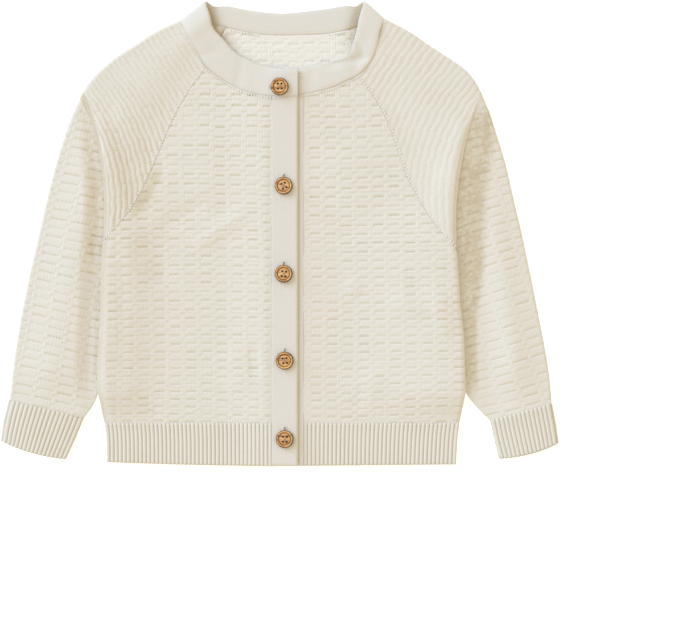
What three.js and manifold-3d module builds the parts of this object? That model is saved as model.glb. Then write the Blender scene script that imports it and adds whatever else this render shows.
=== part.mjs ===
// A baby's raglan cardigan in cotton block knit, buttoned and laid flat on its back.
// Millimetres, +Z up, +Y towards the neck. The origin is under the middle of the garment.
// Left and right in names are the wearer's; in the tables they are the sides as seen from above.
import * as THREE from "three";
import Module from "manifold-3d";
import { mergeVertices } from "three/addons/utils/BufferGeometryUtils.js";

const wasm = await Module();
wasm.setup();

// Driving sizes
const wall = 1.8;
const bandWall = 2.2;
const placketWall = 1.8;
const seamGap = 0.3;
const layerGap = 0.4;
const restGap = 0.7;
const leastGap = 0.25;
const maxHollow = 2.6;
const sideRoundWidth = 3.4;
const frontRoundDrop = 1.2;
const frontRoundUnder = 0.2;
const backRoundRise = 1.1;
const underarmRound = 0.7;
const liftShelf = 6;
const liftRamps = { left: 48, right: 84 };
const lapStart = -42;
const ribPitch = 2.87;
const ribHeight = 0.8;
const cuffRibs = { left: 16, right: 14 };
const placketLeftEdge = -5.4;
const placketRightEdge = 12.95;
const buttonBandLeftEdge = -2;
const buttonBandRightEdge = 17;
const placketRise = 2.4;
const hemTop = -133.7;
const hemBottom = -163.1;
const hemBackBottom = -160.2;
const hemFrontBottoms = { leftSide: -160.4, bands: -163, rightSide: -162 };
const hemCalmHeights = [hemTop - 6, hemTop + 10];
const shoulderPlump = 0.9;
const shoulderPlumpReach = 1.15;
const rollLean = 1.3;
const bodyRise = 0.35;
const sleeveFoldShare = 0.8;
const sleeveSeamInset = 1.5;
const edgeRise = 0.3;
const valleys = { left: [5, 17], right: [14, 38] };
const sleevePlumps = { left: 2.9, right: 3.3 };
const tuckPlump = 1.2;
const tuckPlumpHeights = [78, 98];
const cuffCalm = 0.35;
const cuffCalmHeights = [-118, -92];
const cuffPlumps = [1.3, 0.8, 0.8];
const bandRows = 14;
const buttonDiameter = 12.5;
const buttonHoleDiameter = 1.5;
const buttonHoleSpacing = { x: 2.7, y: 3.1 };

// The body's side edges, and how far they are lifted where they lie on the sleeves
const sideColumns = ["y", "left", "right", "backLift", "frontLift"];
const sideTable = table(sideColumns, [
  [60, -106, 104, 0, 0],
  [40, -109, 107, 0, 0.3],
  [20, -115, 113, 0, 1.4],
  [8, -119, 118, 0, 2.9],
  [-4.9, -122.4, 121.6, 1, 4.2],
  [-11.2, -123.2, 123, 2.4, 4.4],
  [-18, -124, 124.5, 4.4, 4.4],
  [-26, -124.5, 125.2, 4.4, 4.4],
  [-46.9, -124.8, 126.4, 4.4, 4.4],
  [-71.4, -126, 129, 4.4, 4.4],
  [-93.1, -127.3, 129.7, 4.4, 4.4],
  [-111, -127, 130.1, 4.4, 4.4],
  [-119, -125.4, 128.9, 3, 3],
  [-126, -124.3, 127.4, 1.2, 1.2],
  [-133.7, -122.6, 125.9, 0.2, 0.2],
  [-144.9, -121.6, 124.6, 0, 0],
  [-163.1, -121.4, 123.6, 0, 0],
]);

// The front raglan seams, neck to underarm; at is the place along the seam
const raglanTable = table(["at", "leftX", "leftY", "rightX", "rightY", "bow"], [
  [0, -51.1, 116.2, 54.3, 109.9, 0],
  [0.14, -64.8, 97.3, 65.2, 96, 4],
  [0.27, -75.3, 77.7, 75.4, 78.8, 2.5],
  [0.42, -83.6, 58, 82.6, 59, 1],
  [0.56, -91.4, 40.6, 89, 40.6, 0],
  [0.7, -99.7, 23.5, 97.6, 23.6, 0],
  [0.84, -109, 10, 108, 7.2, 0],
  [1, -122.4, -4.9, 123, -11.2, 0],
]);

// Rows of the fronts and back below the underarm
const bodyRows = [-20.3, -34, -46.9, -59, -71.4, -82, -93.1, -102, -111, -119, -126, -133.7];

// Where the fronts and sleeves are sewn to the neckband, from the shoulder fold to the centre front
const neckSeamLeft = curve([
  [-69.3, 149.8], [-65.5, 138.6], [-59.2, 129.5], [-51.1, 116.2], [-37.5, 105.7],
  [-25.6, 99.4], [-13.7, 96.3], [-1, 95.2], [12.95, 95.2],
]);
const neckSeamRight = curve([
  [73.1, 150.9], [71, 140.4], [68.3, 129.7], [63.4, 119], [54.3, 109.9],
  [46.3, 106.1], [38.2, 102.2], [24.9, 98.3], [16.8, 97], [-0.4, 95.6],
]);
const neckSeamStops = {
  left: { seam: neckSeamLeft, raglan: 3 / 8, placket: 6.65 / 8 },
  right: { seam: neckSeamRight, raglan: 4 / 9, placket: 7.97 / 9 },
};

// The back raglan seams run straight from the back of the neckband to the underarm
const backNeckEnds = { left: [-37.2, 143.2], right: [49.4, 141.4] };

// The neckband from its under end at the centre front, round the neck, to its top end.
// turn is the way its outer face looks: 0 up, 90 out at the shoulder fold, 180 down at the back.
const neckbandTable = table(["seamX", "seamY", "edgeX", "edgeY", "height", "turn"], [
  [-0.4, 95.6, -0.4, 114.5, 3.7, 0],
  [16.8, 97, 16.5, 115.2, 3.7, 0],
  [24.9, 98.3, 24.9, 117.6, 3.8, 0],
  [38.2, 102.2, 36.1, 119.7, 4, 0],
  [46.3, 106.1, 43.1, 121.1, 4.1, 0],
  [54.3, 109.9, 48.2, 124.8, 4.2, 0],
  [63.4, 119, 50.8, 131.6, 4.5, 0],
  [68.3, 129.7, 53.6, 140, 5, 0],
  [70.4, 140.4, 56, 151.2, 5.6, 15],
  [73.1, 150.9, 59.5, 163.1, 3.5, 90],
  [61, 146.9, 53.6, 159.6, 1.2, 165],
  [48, 142.1, 45.6, 159.6, 1.1, 180],
  [31.9, 139.3, 31.9, 157.5, 1.1, 180],
  [14.4, 138.6, 14.4, 155.4, 1.1, 180],
  [-0.4, 138.3, -0.4, 154.4, 1.1, 180],
  [-15.8, 139.3, -20.7, 156.5, 1.1, 180],
  [-36.1, 143.5, -36.5, 159.4, 1.1, 180],
  [-56, 147.5, -46.5, 159.6, 1.2, 165],
  [-69.3, 149.8, -51.8, 163.1, 3.5, 90],
  [-65, 138.6, -48.6, 151.9, 5.6, 15],
  [-59.2, 129.5, -46.1, 143.5, 5, 0],
  [-51.1, 116.2, -39.2, 135.8, 4.5, 0],
  [-37.5, 105.7, -30.5, 126.7, 4.2, 0],
  [-25.6, 99.4, -20.7, 121.1, 4.2, 0],
  [-13.7, 96.3, -8.8, 116.5, 4.8, 0],
  [-1, 95.2, 3.1, 115, 6.3, 0],
  [12.95, 95.2, 12.95, 114.8, 6.3, 0],
]);

const backNeckSeam = neckbandTable.filter((row) => row.turn === 180);

// The sleeves' outer edge, from the shoulder fold to the cuff
const outerEdgeTable = table(["y", "left", "right"], [
  [150, -69.3, 73.6], [142, -85.8, 90], [135, -97, 100.5], [124.6, -113.8, 116.6],
  [114, -126.4, 131.3], [103.6, -135.5, 139], [93, -141.1, 143.9], [82.6, -146, 148.1],
  [72, -149.8, 151.4], [51, -156.5, 157.9], [30, -162.1, 162.8], [9, -167, 167.7],
  [-12, -171.9, 172.6], [-33, -176.6, 176.8], [-54, -181, 181], [-75, -184.5, 185],
  [-96, -187.5, 188.7], [-118, -190, 190.9],
]);

// Upper sleeve, fanning from the neck seam to the tuck beside the body.
// seam is the place on the raglan, bow bends the section towards the neck, rise is its height there.
const upperSleeveTable = table(["outerY", "seam", "bow", "rise"], [
  [142, 0.14, 0, 0],
  [134, 0.27, 0, 0.2],
  [125, 0.42, 0, 0.5],
  [116, 0.56, 0.5, 1],
  [109, 0.7, 2, 2],
  [103.6, 0.84, 4.5, 3.2],
  [99.5, 1, 7, 4.4],
]);

// The rolled edge of the tuck: distance outward from the tuck line, and the share of the drop done
const tuckRoll = table(["out", "drop", "outerY"], [
  [1.2, 0.12, 98.4],
  [2.2, 0.45, 97.4],
  [3, 0.85, 96.4],
  [4.4, 1, 95],
]);

// Lower sleeve, from the tuck to the cuff; inner ends lie under the body's side edges
const lowerSleeveTable = table(["outerY", "leftX", "leftY", "rightX", "rightY", "bow"], [
  [84.7, -123.5, -9.5, 124.1, -14.5, 6],
  [68.6, -124.3, -17.5, 125.1, -20.5, 4.5],
  [48.3, -119, -27, 120, -33, 3],
  [23.8, -116.8, -38, 118, -46, 2],
  [-1.4, -116.8, -54, 119.6, -62, 1],
  [-32.9, -118.6, -77, 122.6, -80, 0],
  [-60.9, -122.2, -96, 126.4, -97.5, 0],
  [-85.4, -127.4, -112, 130.8, -112, 0],
  [-102.3, -131.3, -121, 139.5, -123.5, 0],
]);

// Cuffs: outer and inner corners at the seam, halfway and at the bottom edge
const cuffColumns = [
  "leftOutX", "leftOutY", "leftInX", "leftInY", "rightOutX", "rightOutY", "rightInX", "rightInY",
];
const cuffTable = table(cuffColumns, [
  [-190, -117.6, -137.4, -129.8, 191, -120.2, 147.8, -132],
  [-193.4, -131, -143.6, -144.2, 193.6, -133, 151, -146],
  [-195.65, -145.4, -150, -158.3, 195.65, -147, 154.2, -158],
]);
const cuffHemBow = -2.2;
const cuffFoldShare = 0.06;

// Soft folds of the fronts and upper sleeves: a ridge or, below zero, a trough from start to end
const foldTable = table(["x1", "y1", "x2", "y2", "halfWidth", "height"], [
  [-60, -10, -20, 18, 6, 0.8],
  [-84, 50, -101, 10, 6, -1.5],
  [-99, -2, -83, -36, 9, -1],
  [-114, 20, -113, -125, 6, -0.7],
  [-112, 92, -94, 52, 9, 1],
  [74, -47, 122, -57, 10, 0.9],
  [50, -122, 74, -94, 9, 0.7],
  [-34, -80, -27, -114, 10, 0.7],
  [-52, 78, -40, 20, 18, 0.8],
  [42, 60, 56, 8, 20, 0.9],
  [90, -32, 110, -66, 7, -0.8],
]);
const foldTapers = { start: [-0.15, 0.3], end: [0.65, 1.15] };

// The button centres on the buttonhole band
const buttonCentres = [[0.4, 102.2], [3.2, 32.9], [3.2, -28.7], [3.9, -89.3], [3.9, -144.2]];

// Cloth and wood
const knitCream = new THREE.MeshStandardMaterial({ color: 0xe4ddcf, roughness: 0.95, metalness: 0 });
const ribCream = new THREE.MeshStandardMaterial({ color: 0xdcd4c2, roughness: 0.95, metalness: 0 });
const bandCream = new THREE.MeshStandardMaterial({ color: 0xe2dccf, roughness: 0.9, metalness: 0 });
const buttonWood = new THREE.MeshStandardMaterial({ color: 0xc29a68, roughness: 0.55, metalness: 0 });

const leftSide = { name: "left", x: "leftX", y: "leftY", sign: -1 };
const rightSide = { name: "right", x: "rightX", y: "rightY", sign: 1 };

// Tables become lists of rows with named columns
function table(columns, rows) {
  return rows.map((row) => Object.fromEntries(columns.map((column, index) => [column, row[index]])));
}

function curve(points) {
  return new THREE.CatmullRomCurve3(points.map(([x, y]) => new THREE.Vector3(x, y, 0)));
}

// Smooth reading of one column of a table at a value of another
function readTable(rows, keyColumn, key, column) {
  const rising = rows[rows.length - 1][keyColumn] > rows[0][keyColumn] ? 1 : -1;
  const place = rows.findIndex((row) => (row[keyColumn] - key) * rising >= 0);
  if (place === 0) return rows[0][column];
  if (place < 0) return rows[rows.length - 1][column];
  const before = rows[place - 1];
  const after = rows[place];
  const slopeAt = (low, high) => (high[column] - low[column]) / (high[keyColumn] - low[keyColumn]);
  const step = after[keyColumn] - before[keyColumn];
  const f = (key - before[keyColumn]) / step;
  const startSlope = slopeAt(rows[Math.max(place - 2, 0)], after) * step;
  const endSlope = slopeAt(before, rows[Math.min(place + 1, rows.length - 1)]) * step;
  const f2 = f * f;
  const f3 = f2 * f;
  return (2 * f3 - 3 * f2 + 1) * before[column] + (f3 - 2 * f2 + f) * startSlope
    + (3 * f2 - 2 * f3) * after[column] + (f3 - f2) * endSlope;
}

const smooth = (low, high, value) => THREE.MathUtils.smoothstep(value, low, high);
const mix = THREE.MathUtils.lerp;
const sideEdge = (side, y) => readTable(sideTable, "y", y, side.name);
const outerEdge = (side, y) => readTable(outerEdgeTable, "y", y, side.name);

// A closed cloth solid between an outer and an inner grid of points
function clothGeometry(outer, inner) {
  const rows = outer.length;
  const columns = outer[0].length;
  const positions = [];
  for (const grid of [outer, inner]) {
    for (const row of grid) {
      for (const point of row) positions.push(point.x, point.y, point.z);
    }
  }
  const innerStart = rows * columns;
  const at = (row, column) => row * columns + column;
  const index = [];
  const quad = (a, b, c, d) => index.push(a, b, c, a, c, d);
  for (let row = 0; row < rows - 1; row += 1) {
    for (let column = 0; column < columns - 1; column += 1) {
      const corners = [at(row, column), at(row + 1, column), at(row + 1, column + 1), at(row, column + 1)];
      quad(...corners);
      quad(...corners.map((corner) => corner + innerStart).reverse());
    }
  }
  const rim = [];
  for (let row = 0; row < rows - 1; row += 1) rim.push([at(row, 0), at(row + 1, 0)]);
  for (let column = 0; column < columns - 1; column += 1) {
    rim.push([at(rows - 1, column), at(rows - 1, column + 1)]);
  }
  for (let row = rows - 1; row > 0; row -= 1) rim.push([at(row, columns - 1), at(row - 1, columns - 1)]);
  for (let column = columns - 1; column > 0; column -= 1) rim.push([at(0, column), at(0, column - 1)]);
  for (const [start, end] of rim) quad(end, start, start + innerStart, end + innerStart);
  if (signedVolume(positions, index) < 0) index.reverse();
  const geometry = new THREE.BufferGeometry();
  geometry.setAttribute("position", new THREE.Float32BufferAttribute(positions, 3));
  geometry.setIndex(index);
  return geometry;
}

function signedVolume(positions, index) {
  let volume = 0;
  for (let i = 0; i < index.length; i += 3) {
    const [a, b, c] = index.slice(i, i + 3).map((at) => new THREE.Vector3().fromArray(positions, 3 * at));
    volume += a.dot(b.cross(c)) / 6;
  }
  return volume;
}

// Height of the soft folds at a point
function foldHeight(x, y) {
  let height = 0;
  for (const fold of foldTable) {
    const along = new THREE.Vector2(fold.x2 - fold.x1, fold.y2 - fold.y1);
    const from = new THREE.Vector2(x - fold.x1, y - fold.y1);
    const share = from.dot(along) / along.lengthSq();
    const across = from.cross(along) / along.length();
    const taper = smooth(...foldTapers.start, share) * (1 - smooth(...foldTapers.end, share));
    height += fold.height * taper * Math.exp(-((across / fold.halfWidth) ** 2));
  }
  return height;
}

// How far the body is lifted by the sleeve under its side edge
function bodyLift(x, y, column) {
  const lift = Math.max(0, readTable(sideTable, "y", y, column));
  const fromLeft = smooth(liftShelf, liftRamps.left, x - sideEdge(leftSide, y));
  const fromRight = smooth(liftShelf, liftRamps.right, sideEdge(rightSide, y) - x);
  return lift * (1 - Math.min(fromLeft, fromRight));
}

const backTop = (x, y) => bodyLift(x, y, "backLift") + wall;

function frontUnder(x, y) {
  const backLift = bodyLift(x, y, "backLift");
  const lift = Math.max(bodyLift(x, y, "frontLift"), backLift);
  const hemCalm = smooth(...hemCalmHeights, y);
  const above = lift + mix(layerGap, restGap, hemCalm) + foldHeight(x, y) * hemCalm;
  const lapRise = x < 0 ? placketRise * smooth(lapStart, placketLeftEdge, x) : 0;
  return Math.max(above, backLift + leastGap) + wall + lapRise;
}

// The side edges are rounded: the fronts turn down and the back turns up to the side seam
function sideRound(distance, amount) {
  return amount * (1 - Math.sqrt(smooth(-0.01, sideRoundWidth, distance)));
}

// One front, from its raglan and side edge to its band
function frontGrids(side, bandEdge) {
  const stops = neckSeamStops[side.name];
  const bandX = bandEdge + side.sign * seamGap;
  const neckRow = (share) => {
    const point = stops.seam.getPoint(mix(stops.raglan, stops.placket, share));
    return [point.x, point.y - seamGap];
  };
  const seamRows = raglanTable.slice(1).map((row) => {
    const bandY = readTable(raglanTable, "at", row.at, side.y);
    const neckEnd = neckRow(1)[1];
    const startY = raglanTable[0][side.y];
    const lastY = raglanTable[raglanTable.length - 1][side.y];
    const endY = mix(neckEnd, lastY, (startY - bandY) / (startY - lastY));
    const edge = [row[side.x] - side.sign * seamGap / 2, row[side.y]];
    return { edge, end: [bandX, endY], bow: row.bow, round: row.at === 1 ? underarmRound : 0 };
  });
  const lastSeamY = raglanTable[raglanTable.length - 1][side.y];
  const sideRows = bodyRows.filter((y) => y < lastSeamY - 5).map((y) => (
    { edge: [sideEdge(side, y), y], end: [bandX, y], bow: 0, round: 1 }
  ));
  const shares = [0, 0.009, 0.028, 0.07, 0.14, 0.23, 0.33, 0.44, 0.55, 0.66, 0.77, 0.88, 1];
  const outer = [];
  const inner = [];
  const addRow = (places, round) => {
    outer.push([]);
    inner.push([]);
    places.forEach(([x, y], index) => {
      const distance = index < 4 ? Math.abs(x - places[0][0]) : sideRoundWidth;
      const under = frontUnder(x, y);
      const drop = sideRound(distance, frontRoundDrop * round);
      outer.at(-1).push(new THREE.Vector3(x, y, under + wall - drop));
      inner.at(-1).push(new THREE.Vector3(x, y, under - sideRound(distance, frontRoundUnder * round)));
    });
  };
  addRow(shares.map(neckRow), 0);
  for (const row of [...seamRows, ...sideRows]) {
    addRow(shares.map((share) => [
      mix(row.edge[0], row.end[0], share),
      mix(row.edge[1], row.end[1], share) - row.bow * 4 * share * (1 - share),
    ]), row.round);
  }
  outer.at(-1).forEach((point) => { point.y += seamGap / 2; });
  inner.at(-1).forEach((point) => { point.y += seamGap / 2; });
  return [outer, inner];
}

// The back raglan seam at a share of its length
function backSeamPoint(side, share) {
  const [topX, topY] = backNeckEnds[side.name];
  const underarm = raglanTable[raglanTable.length - 1];
  return [mix(topX, underarm[side.x], share), mix(topY, underarm[side.y], share)];
}

function backGrids() {
  const gapIn = seamGap / 2;
  const rows = [0, 0.16, 0.32, 0.48, 0.64, 0.78, 0.9].map((share) => ({
    left: backSeamPoint(leftSide, share),
    right: backSeamPoint(rightSide, share),
    round: 0,
  }));
  rows[0].neck = true;
  const underarm = raglanTable[raglanTable.length - 1];
  rows.push({
    left: [underarm.leftX, underarm.leftY],
    right: [underarm.rightX, underarm.rightY],
    round: underarmRound,
  });
  for (const y of bodyRows) {
    rows.push({ left: [sideEdge(leftSide, y), y], right: [sideEdge(rightSide, y), y], round: 1 });
  }
  const shares = [
    0, 0.006, 0.014, 0.045, 0.1, 0.17, 0.26, 0.38, 0.5, 0.62, 0.74, 0.83, 0.9, 0.955, 0.986, 0.994, 1,
  ];
  const outer = [];
  const inner = [];
  for (const row of rows) {
    outer.push([]);
    inner.push([]);
    for (const share of shares) {
      const x = mix(row.left[0] + gapIn, row.right[0] - gapIn, share);
      const straightY = mix(row.left[1], row.right[1], share);
      const y = row.neck ? readTable(backNeckSeam, "seamX", x, "seamY") - seamGap * 1.3 : straightY;
      const distance = Math.min(x - row.left[0], row.right[0] - x) - gapIn;
      const lift = bodyLift(x, y, "backLift");
      outer.at(-1).push(new THREE.Vector3(x, y, lift + sideRound(distance, backRoundRise * row.round)));
      inner.at(-1).push(new THREE.Vector3(x, y, lift + wall));
    }
  }
  outer.at(-1).forEach((point) => { point.y += gapIn; });
  inner.at(-1).forEach((point) => { point.y += gapIn; });
  return [outer, inner];
}

// A length of ribbed hem: each rib is a valley and two crest points on a plain inside
function hemGrids(startX, endX, ribs, bottomY, under) {
  const columns = ribs * 3;
  const outer = [];
  const inner = [];
  const rows = [hemTop - seamGap / 2, (hemTop + hemBottom) / 2, null];
  rows.forEach((rowY) => {
    outer.push([]);
    inner.push([]);
    for (let column = 0; column <= columns; column += 1) {
      const share = column / columns;
      const y = rowY ?? bottomY(share);
      const x = mix(startX(y), endX(y), share);
      const base = under(x, y);
      const crest = column % 3 === 0 ? 0 : ribHeight;
      outer.at(-1).push(new THREE.Vector3(x, y, base + wall - ribHeight / 2 + crest));
      inner.at(-1).push(new THREE.Vector3(x, y, base));
    }
  });
  return [outer, inner];
}

// A flat strip; its top edge may slope
function stripGrids(xs, topY, bottomY, rows, under, thickness) {
  const grid = (height) => spread(0, 1, rows).map((share) => (
    xs.map((x) => new THREE.Vector3(x, mix(topY(x), bottomY, share), height))
  ));
  return [grid(under + thickness), grid(under)];
}

const spread = (start, end, count) => (
  Array.from({ length: count + 1 }, (_, i) => mix(start, end, i / count))
);

// A section of a sleeve or cuff: front layer, outer fold and back layer, as outer and inner chains
function tubeSection(front, back, topHeight, topShares, backShares, relief = () => 0) {
  const outer = [];
  const inner = [];
  const radius = topHeight(0) / 2;
  const [outX, outY] = front(0);
  const [nextX, nextY] = front(0.08);
  const inward = new THREE.Vector2(nextX - outX, nextY - outY).normalize();
  const bore = radius - wall;
  for (const share of topShares) {
    const [x, y] = front(share);
    const top = topHeight(share);
    outer.push(new THREE.Vector3(x, y, top + relief(share)));
    inner.push(new THREE.Vector3(x, y, Math.min(top - wall, wall + maxHollow)));
  }
  for (const angle of [50, 0, -50]) {
    const turn = THREE.MathUtils.degToRad(angle);
    const place = (r) => new THREE.Vector3(
      outX + inward.x * (radius - r * Math.cos(turn)),
      outY + inward.y * (radius - r * Math.cos(turn)),
      radius + r * Math.sin(turn),
    );
    outer.push(place(radius));
    inner.push(place(bore));
  }
  for (const share of backShares) {
    const [x, y] = back(share);
    outer.push(new THREE.Vector3(x, y, 0));
    inner.push(new THREE.Vector3(x, y, wall));
  }
  return [outer, inner];
}

const sleeveTopShares = [1, 0.97, 0.9, 0.8, 0.68, 0.55, 0.4, 0.26, 0.14, 0.06];
const sleeveBackShares = [0.05, 0.2, 0.45, 0.7, 0.9, 1];

// A bowed line between an outer and an inner point, seen from above
function sectionLine(start, end, bow, side) {
  const across = new THREE.Vector2(end[1] - start[1], start[0] - end[0]).normalize();
  across.multiplyScalar(side.sign);
  return (share) => {
    const swell = bow * 4 * share * (1 - share);
    return [
      mix(start[0], end[0], share) + across.x * swell,
      mix(start[1], end[1], share) + across.y * swell,
    ];
  };
}

function sleeveGrids(side) {
  const sections = [];
  const towardSleeve = (point) => [point[0] + side.sign * seamGap / 2, point[1]];
  const seamAt = (share) => towardSleeve([
    readTable(raglanTable, "at", share, side.x),
    readTable(raglanTable, "at", share, side.y),
  ]);
  const seamTop = (x, y) => frontUnder(x, y) + wall;
  const addSection = (front, back, top) => {
    sections.push(tubeSection(front, back, top, sleeveTopShares, sleeveBackShares));
  };
  const edgeHeight = 2 * wall + restGap;
  const upperTop = (front, rise) => {
    const [x, y] = front(1);
    const end = seamTop(x - side.sign * sleeveSeamInset, y);
    return (share) => {
      const [px, py] = front(share);
      const plump = shoulderPlump * Math.sin(Math.PI * Math.min(1, share * shoulderPlumpReach)) ** 2;
      const calm = smooth(0, 0.3, share) * (1 - smooth(0.8, 1, share));
      const fold = foldHeight(px, py) * sleeveFoldShare * calm;
      const body = mix(edgeHeight, end, share ** rollLean) + rise * bodyRise * Math.sin(Math.PI * share);
      return body + plump + fold;
    };
  };
  // The neck end follows the neckband's seam
  const stops = neckSeamStops[side.name];
  const neckFront = (share) => {
    const point = stops.seam.getPoint(stops.raglan * share);
    return [point.x + side.sign * seamGap * 1.2, point.y - seamGap * 0.8];
  };
  const neckBack = backNeckEnds[side.name];
  const foldPoint = neckFront(0);
  const neckBackEnd = [neckBack[0] + side.sign * seamGap, neckBack[1] - seamGap];
  const neckBackLine = sectionLine(foldPoint, neckBackEnd, 0, side);
  addSection(neckFront, neckBackLine, upperTop(neckFront, 0));
  const last = upperSleeveTable.length - 1;
  const tuckFront = (out, outerY) => {
    const seamEnd = seamAt(1);
    const start = [outerEdge(side, outerY), outerY];
    const end = [seamEnd[0] + side.sign * out * 0.2, seamEnd[1] - out * 0.8];
    const line = sectionLine(start, end, upperSleeveTable[last].bow, side);
    return (share) => {
      const [x, y] = line(share);
      return [x + side.sign * out * 0.8 * Math.sin(Math.PI * share), y];
    };
  };
  let tuckTop = null;
  upperSleeveTable.forEach((row) => {
    const start = [outerEdge(side, row.outerY), row.outerY];
    const front = sectionLine(start, seamAt(row.seam), row.bow, side);
    const back = sectionLine(start, towardSleeve(backSeamPoint(side, row.seam)), row.bow * 0.3, side);
    tuckTop = upperTop(front, row.rise);
    addSection(front, back, tuckTop);
  });
  const tuckLine = tuckFront(0, upperSleeveTable[last].outerY);
  const fromTuck = (x, y) => {
    if (y < upperSleeveTable[last].outerY && y > tuckLine(1)[1]) {
      const share = (upperSleeveTable[last].outerY - y) / (upperSleeveTable[last].outerY - tuckLine(1)[1]);
      return (x - tuckLine(share)[0]) * side.sign;
    }
    return (x - sideEdge(side, y)) * side.sign;
  };
  const restTop = 2 * wall + layerGap;
  const lowerTop = (front) => (share) => {
    const [x, y] = front(share);
    const away = smooth(...valleys[side.name], fromTuck(x, y));
    const full = sleevePlumps[side.name] * away * mix(cuffCalm, 1, smooth(...cuffCalmHeights, y));
    const plump = mix(full, tuckPlump, smooth(...tuckPlumpHeights, y));
    return restTop + edgeRise * (1 - share) + plump * smooth(0, 0.5, share);
  };
  for (const step of tuckRoll) {
    const front = tuckFront(step.out, step.outerY);
    const low = lowerTop(front);
    const high = tuckTop;
    addSection(front, front, (share) => mix(high(share), low(share), step.drop));
  }
  for (const row of lowerSleeveTable) {
    const start = [outerEdge(side, row.outerY), row.outerY];
    const front = sectionLine(start, [row[side.x], row[side.y]], row.bow, side);
    addSection(front, front, lowerTop(front));
  }
  const cuffTop = cuffTable[0];
  const cuffLine = sectionLine(
    [cuffTop[`${side.name}OutX`], cuffTop[`${side.name}OutY`] + seamGap],
    [cuffTop[`${side.name}InX`], cuffTop[`${side.name}InY`] + seamGap],
    0,
    side,
  );
  addSection(cuffLine, cuffLine, lowerTop(cuffLine));
  return [sections.map((section) => section[0]), sections.map((section) => section[1])];
}

function cuffGrids(side) {
  const prefix = side.name;
  const sections = cuffTable.map((row, index) => {
    const start = [row[`${prefix}OutX`], row[`${prefix}OutY`]];
    const end = [row[`${prefix}InX`], row[`${prefix}InY`]];
    const columns = cuffRibs[side.name] * 3;
    const shares = spread(1, cuffFoldShare, columns);
    const line = sectionLine(start, end, index === 2 ? cuffHemBow : 0, side);
    const top = (share) => 2 * wall + layerGap + cuffPlumps[index] * Math.sin(Math.PI * share);
    const rib = (share) => {
      const column = Math.round((1 - share) / (1 - cuffFoldShare) * columns);
      return column % 3 === 0 ? -ribHeight / 2 : ribHeight / 2;
    };
    return tubeSection(line, line, top, shares, sleeveBackShares, rib);
  });
  return [sections.map((section) => section[0]), sections.map((section) => section[1])];
}

// The neckband is swept through its table; its ends are square
function neckbandGrids() {
  const curveOf = (x, y, z) => new THREE.CatmullRomCurve3(
    neckbandTable.map((row) => new THREE.Vector3(row[x], row[y], z ? row[z] : 0)), false, "centripetal",
  );
  const seamCurve = curveOf("seamX", "seamY", "height");
  const edgeCurve = curveOf("edgeX", "edgeY", "height");
  const steps = (neckbandTable.length - 1) * 2;
  const outer = [];
  const inner = [];
  for (let step = 0; step <= steps; step += 1) {
    const share = step / steps;
    const seam = seamCurve.getPoint(share);
    const edge = edgeCurve.getPoint(share);
    const place = share * (neckbandTable.length - 1);
    const low = neckbandTable[Math.floor(place)];
    const high = neckbandTable[Math.ceil(place)];
    const turn = THREE.MathUtils.degToRad(mix(low.turn, high.turn, place - Math.floor(place)));
    const across = new THREE.Vector3(edge.x - seam.x, edge.y - seam.y, 0).normalize();
    const sideSign = seam.x < 0 ? -1 : 1;
    const outward = new THREE.Vector3(across.y, -across.x, 0).multiplyScalar(sideSign);
    const normal = new THREE.Vector3(0, 0, Math.cos(turn)).addScaledVector(outward, Math.sin(turn));
    const half = bandWall / 2;
    const inset = normal.clone().setZ(0).multiplyScalar(half);
    const rowOuter = [];
    const rowInner = [];
    for (const f of [0, 0.5, 1]) {
      const middle = seam.clone().lerp(edge, f).sub(inset);
      const outerPoint = middle.clone().addScaledVector(normal, half);
      rowOuter.push(outerPoint.setZ(Math.max(0, outerPoint.z)));
      rowInner.push(middle.clone().addScaledVector(normal, -half));
    }
    outer.push(rowOuter);
    inner.push(rowInner);
  }
  return [outer, inner];
}

// A turned wooden button with a raised rim, a ring groove and four holes
function buttonGeometry() {
  const r = buttonDiameter / 2;
  const profile = [
    [0, 0], [r - 1, 0], [r, 0.9], [r, 1.9], [r - 0.7, 2.8], [r - 1.4, 2.7], [r - 1.9, 2.1], [0, 2.2],
  ].map(([x, y]) => new THREE.Vector2(x, y));
  const disc = new THREE.LatheGeometry(profile, 20).rotateX(Math.PI / 2);
  let solid = manifoldOf(disc);
  for (const signX of [-1, 1]) {
    for (const signY of [-1, 1]) {
      const hole = new THREE.CylinderGeometry(buttonHoleDiameter / 2, buttonHoleDiameter / 2, 8, 8);
      hole.rotateX(Math.PI / 2);
      hole.translate(signX * buttonHoleSpacing.x / 2, signY * buttonHoleSpacing.y / 2, 1);
      solid = solid.subtract(manifoldOf(hole));
    }
  }
  const mesh = solid.getMesh();
  const geometry = new THREE.BufferGeometry();
  geometry.setAttribute("position", new THREE.Float32BufferAttribute(mesh.vertProperties, 3));
  geometry.setIndex(Array.from(mesh.triVerts));
  return geometry;
}

function manifoldOf(geometry) {
  const bare = geometry.clone();
  bare.deleteAttribute("normal");
  bare.deleteAttribute("uv");
  const merged = mergeVertices(bare, 1e-4);
  const index = Array.from(merged.index.array);
  const positions = merged.attributes.position.array;
  const whole = [];
  for (let i = 0; i < index.length; i += 3) {
    const corners = index.slice(i, i + 3);
    if (new Set(corners).size === 3) whole.push(...corners);
  }
  if (signedVolume(positions, whole) < 0) whole.reverse();
  return new wasm.Manifold(new wasm.Mesh({
    numProp: 3,
    vertProperties: new Float32Array(positions),
    triVerts: new Uint32Array(whole),
  }));
}

const garment = new THREE.Group();

function addPiece(name, geometry, material) {
  const mesh = new THREE.Mesh(geometry, material);
  mesh.name = name;
  garment.add(mesh);
  return mesh;
}

const addCloth = (name, grids, material) => addPiece(name, clothGeometry(...grids), material);

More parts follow.
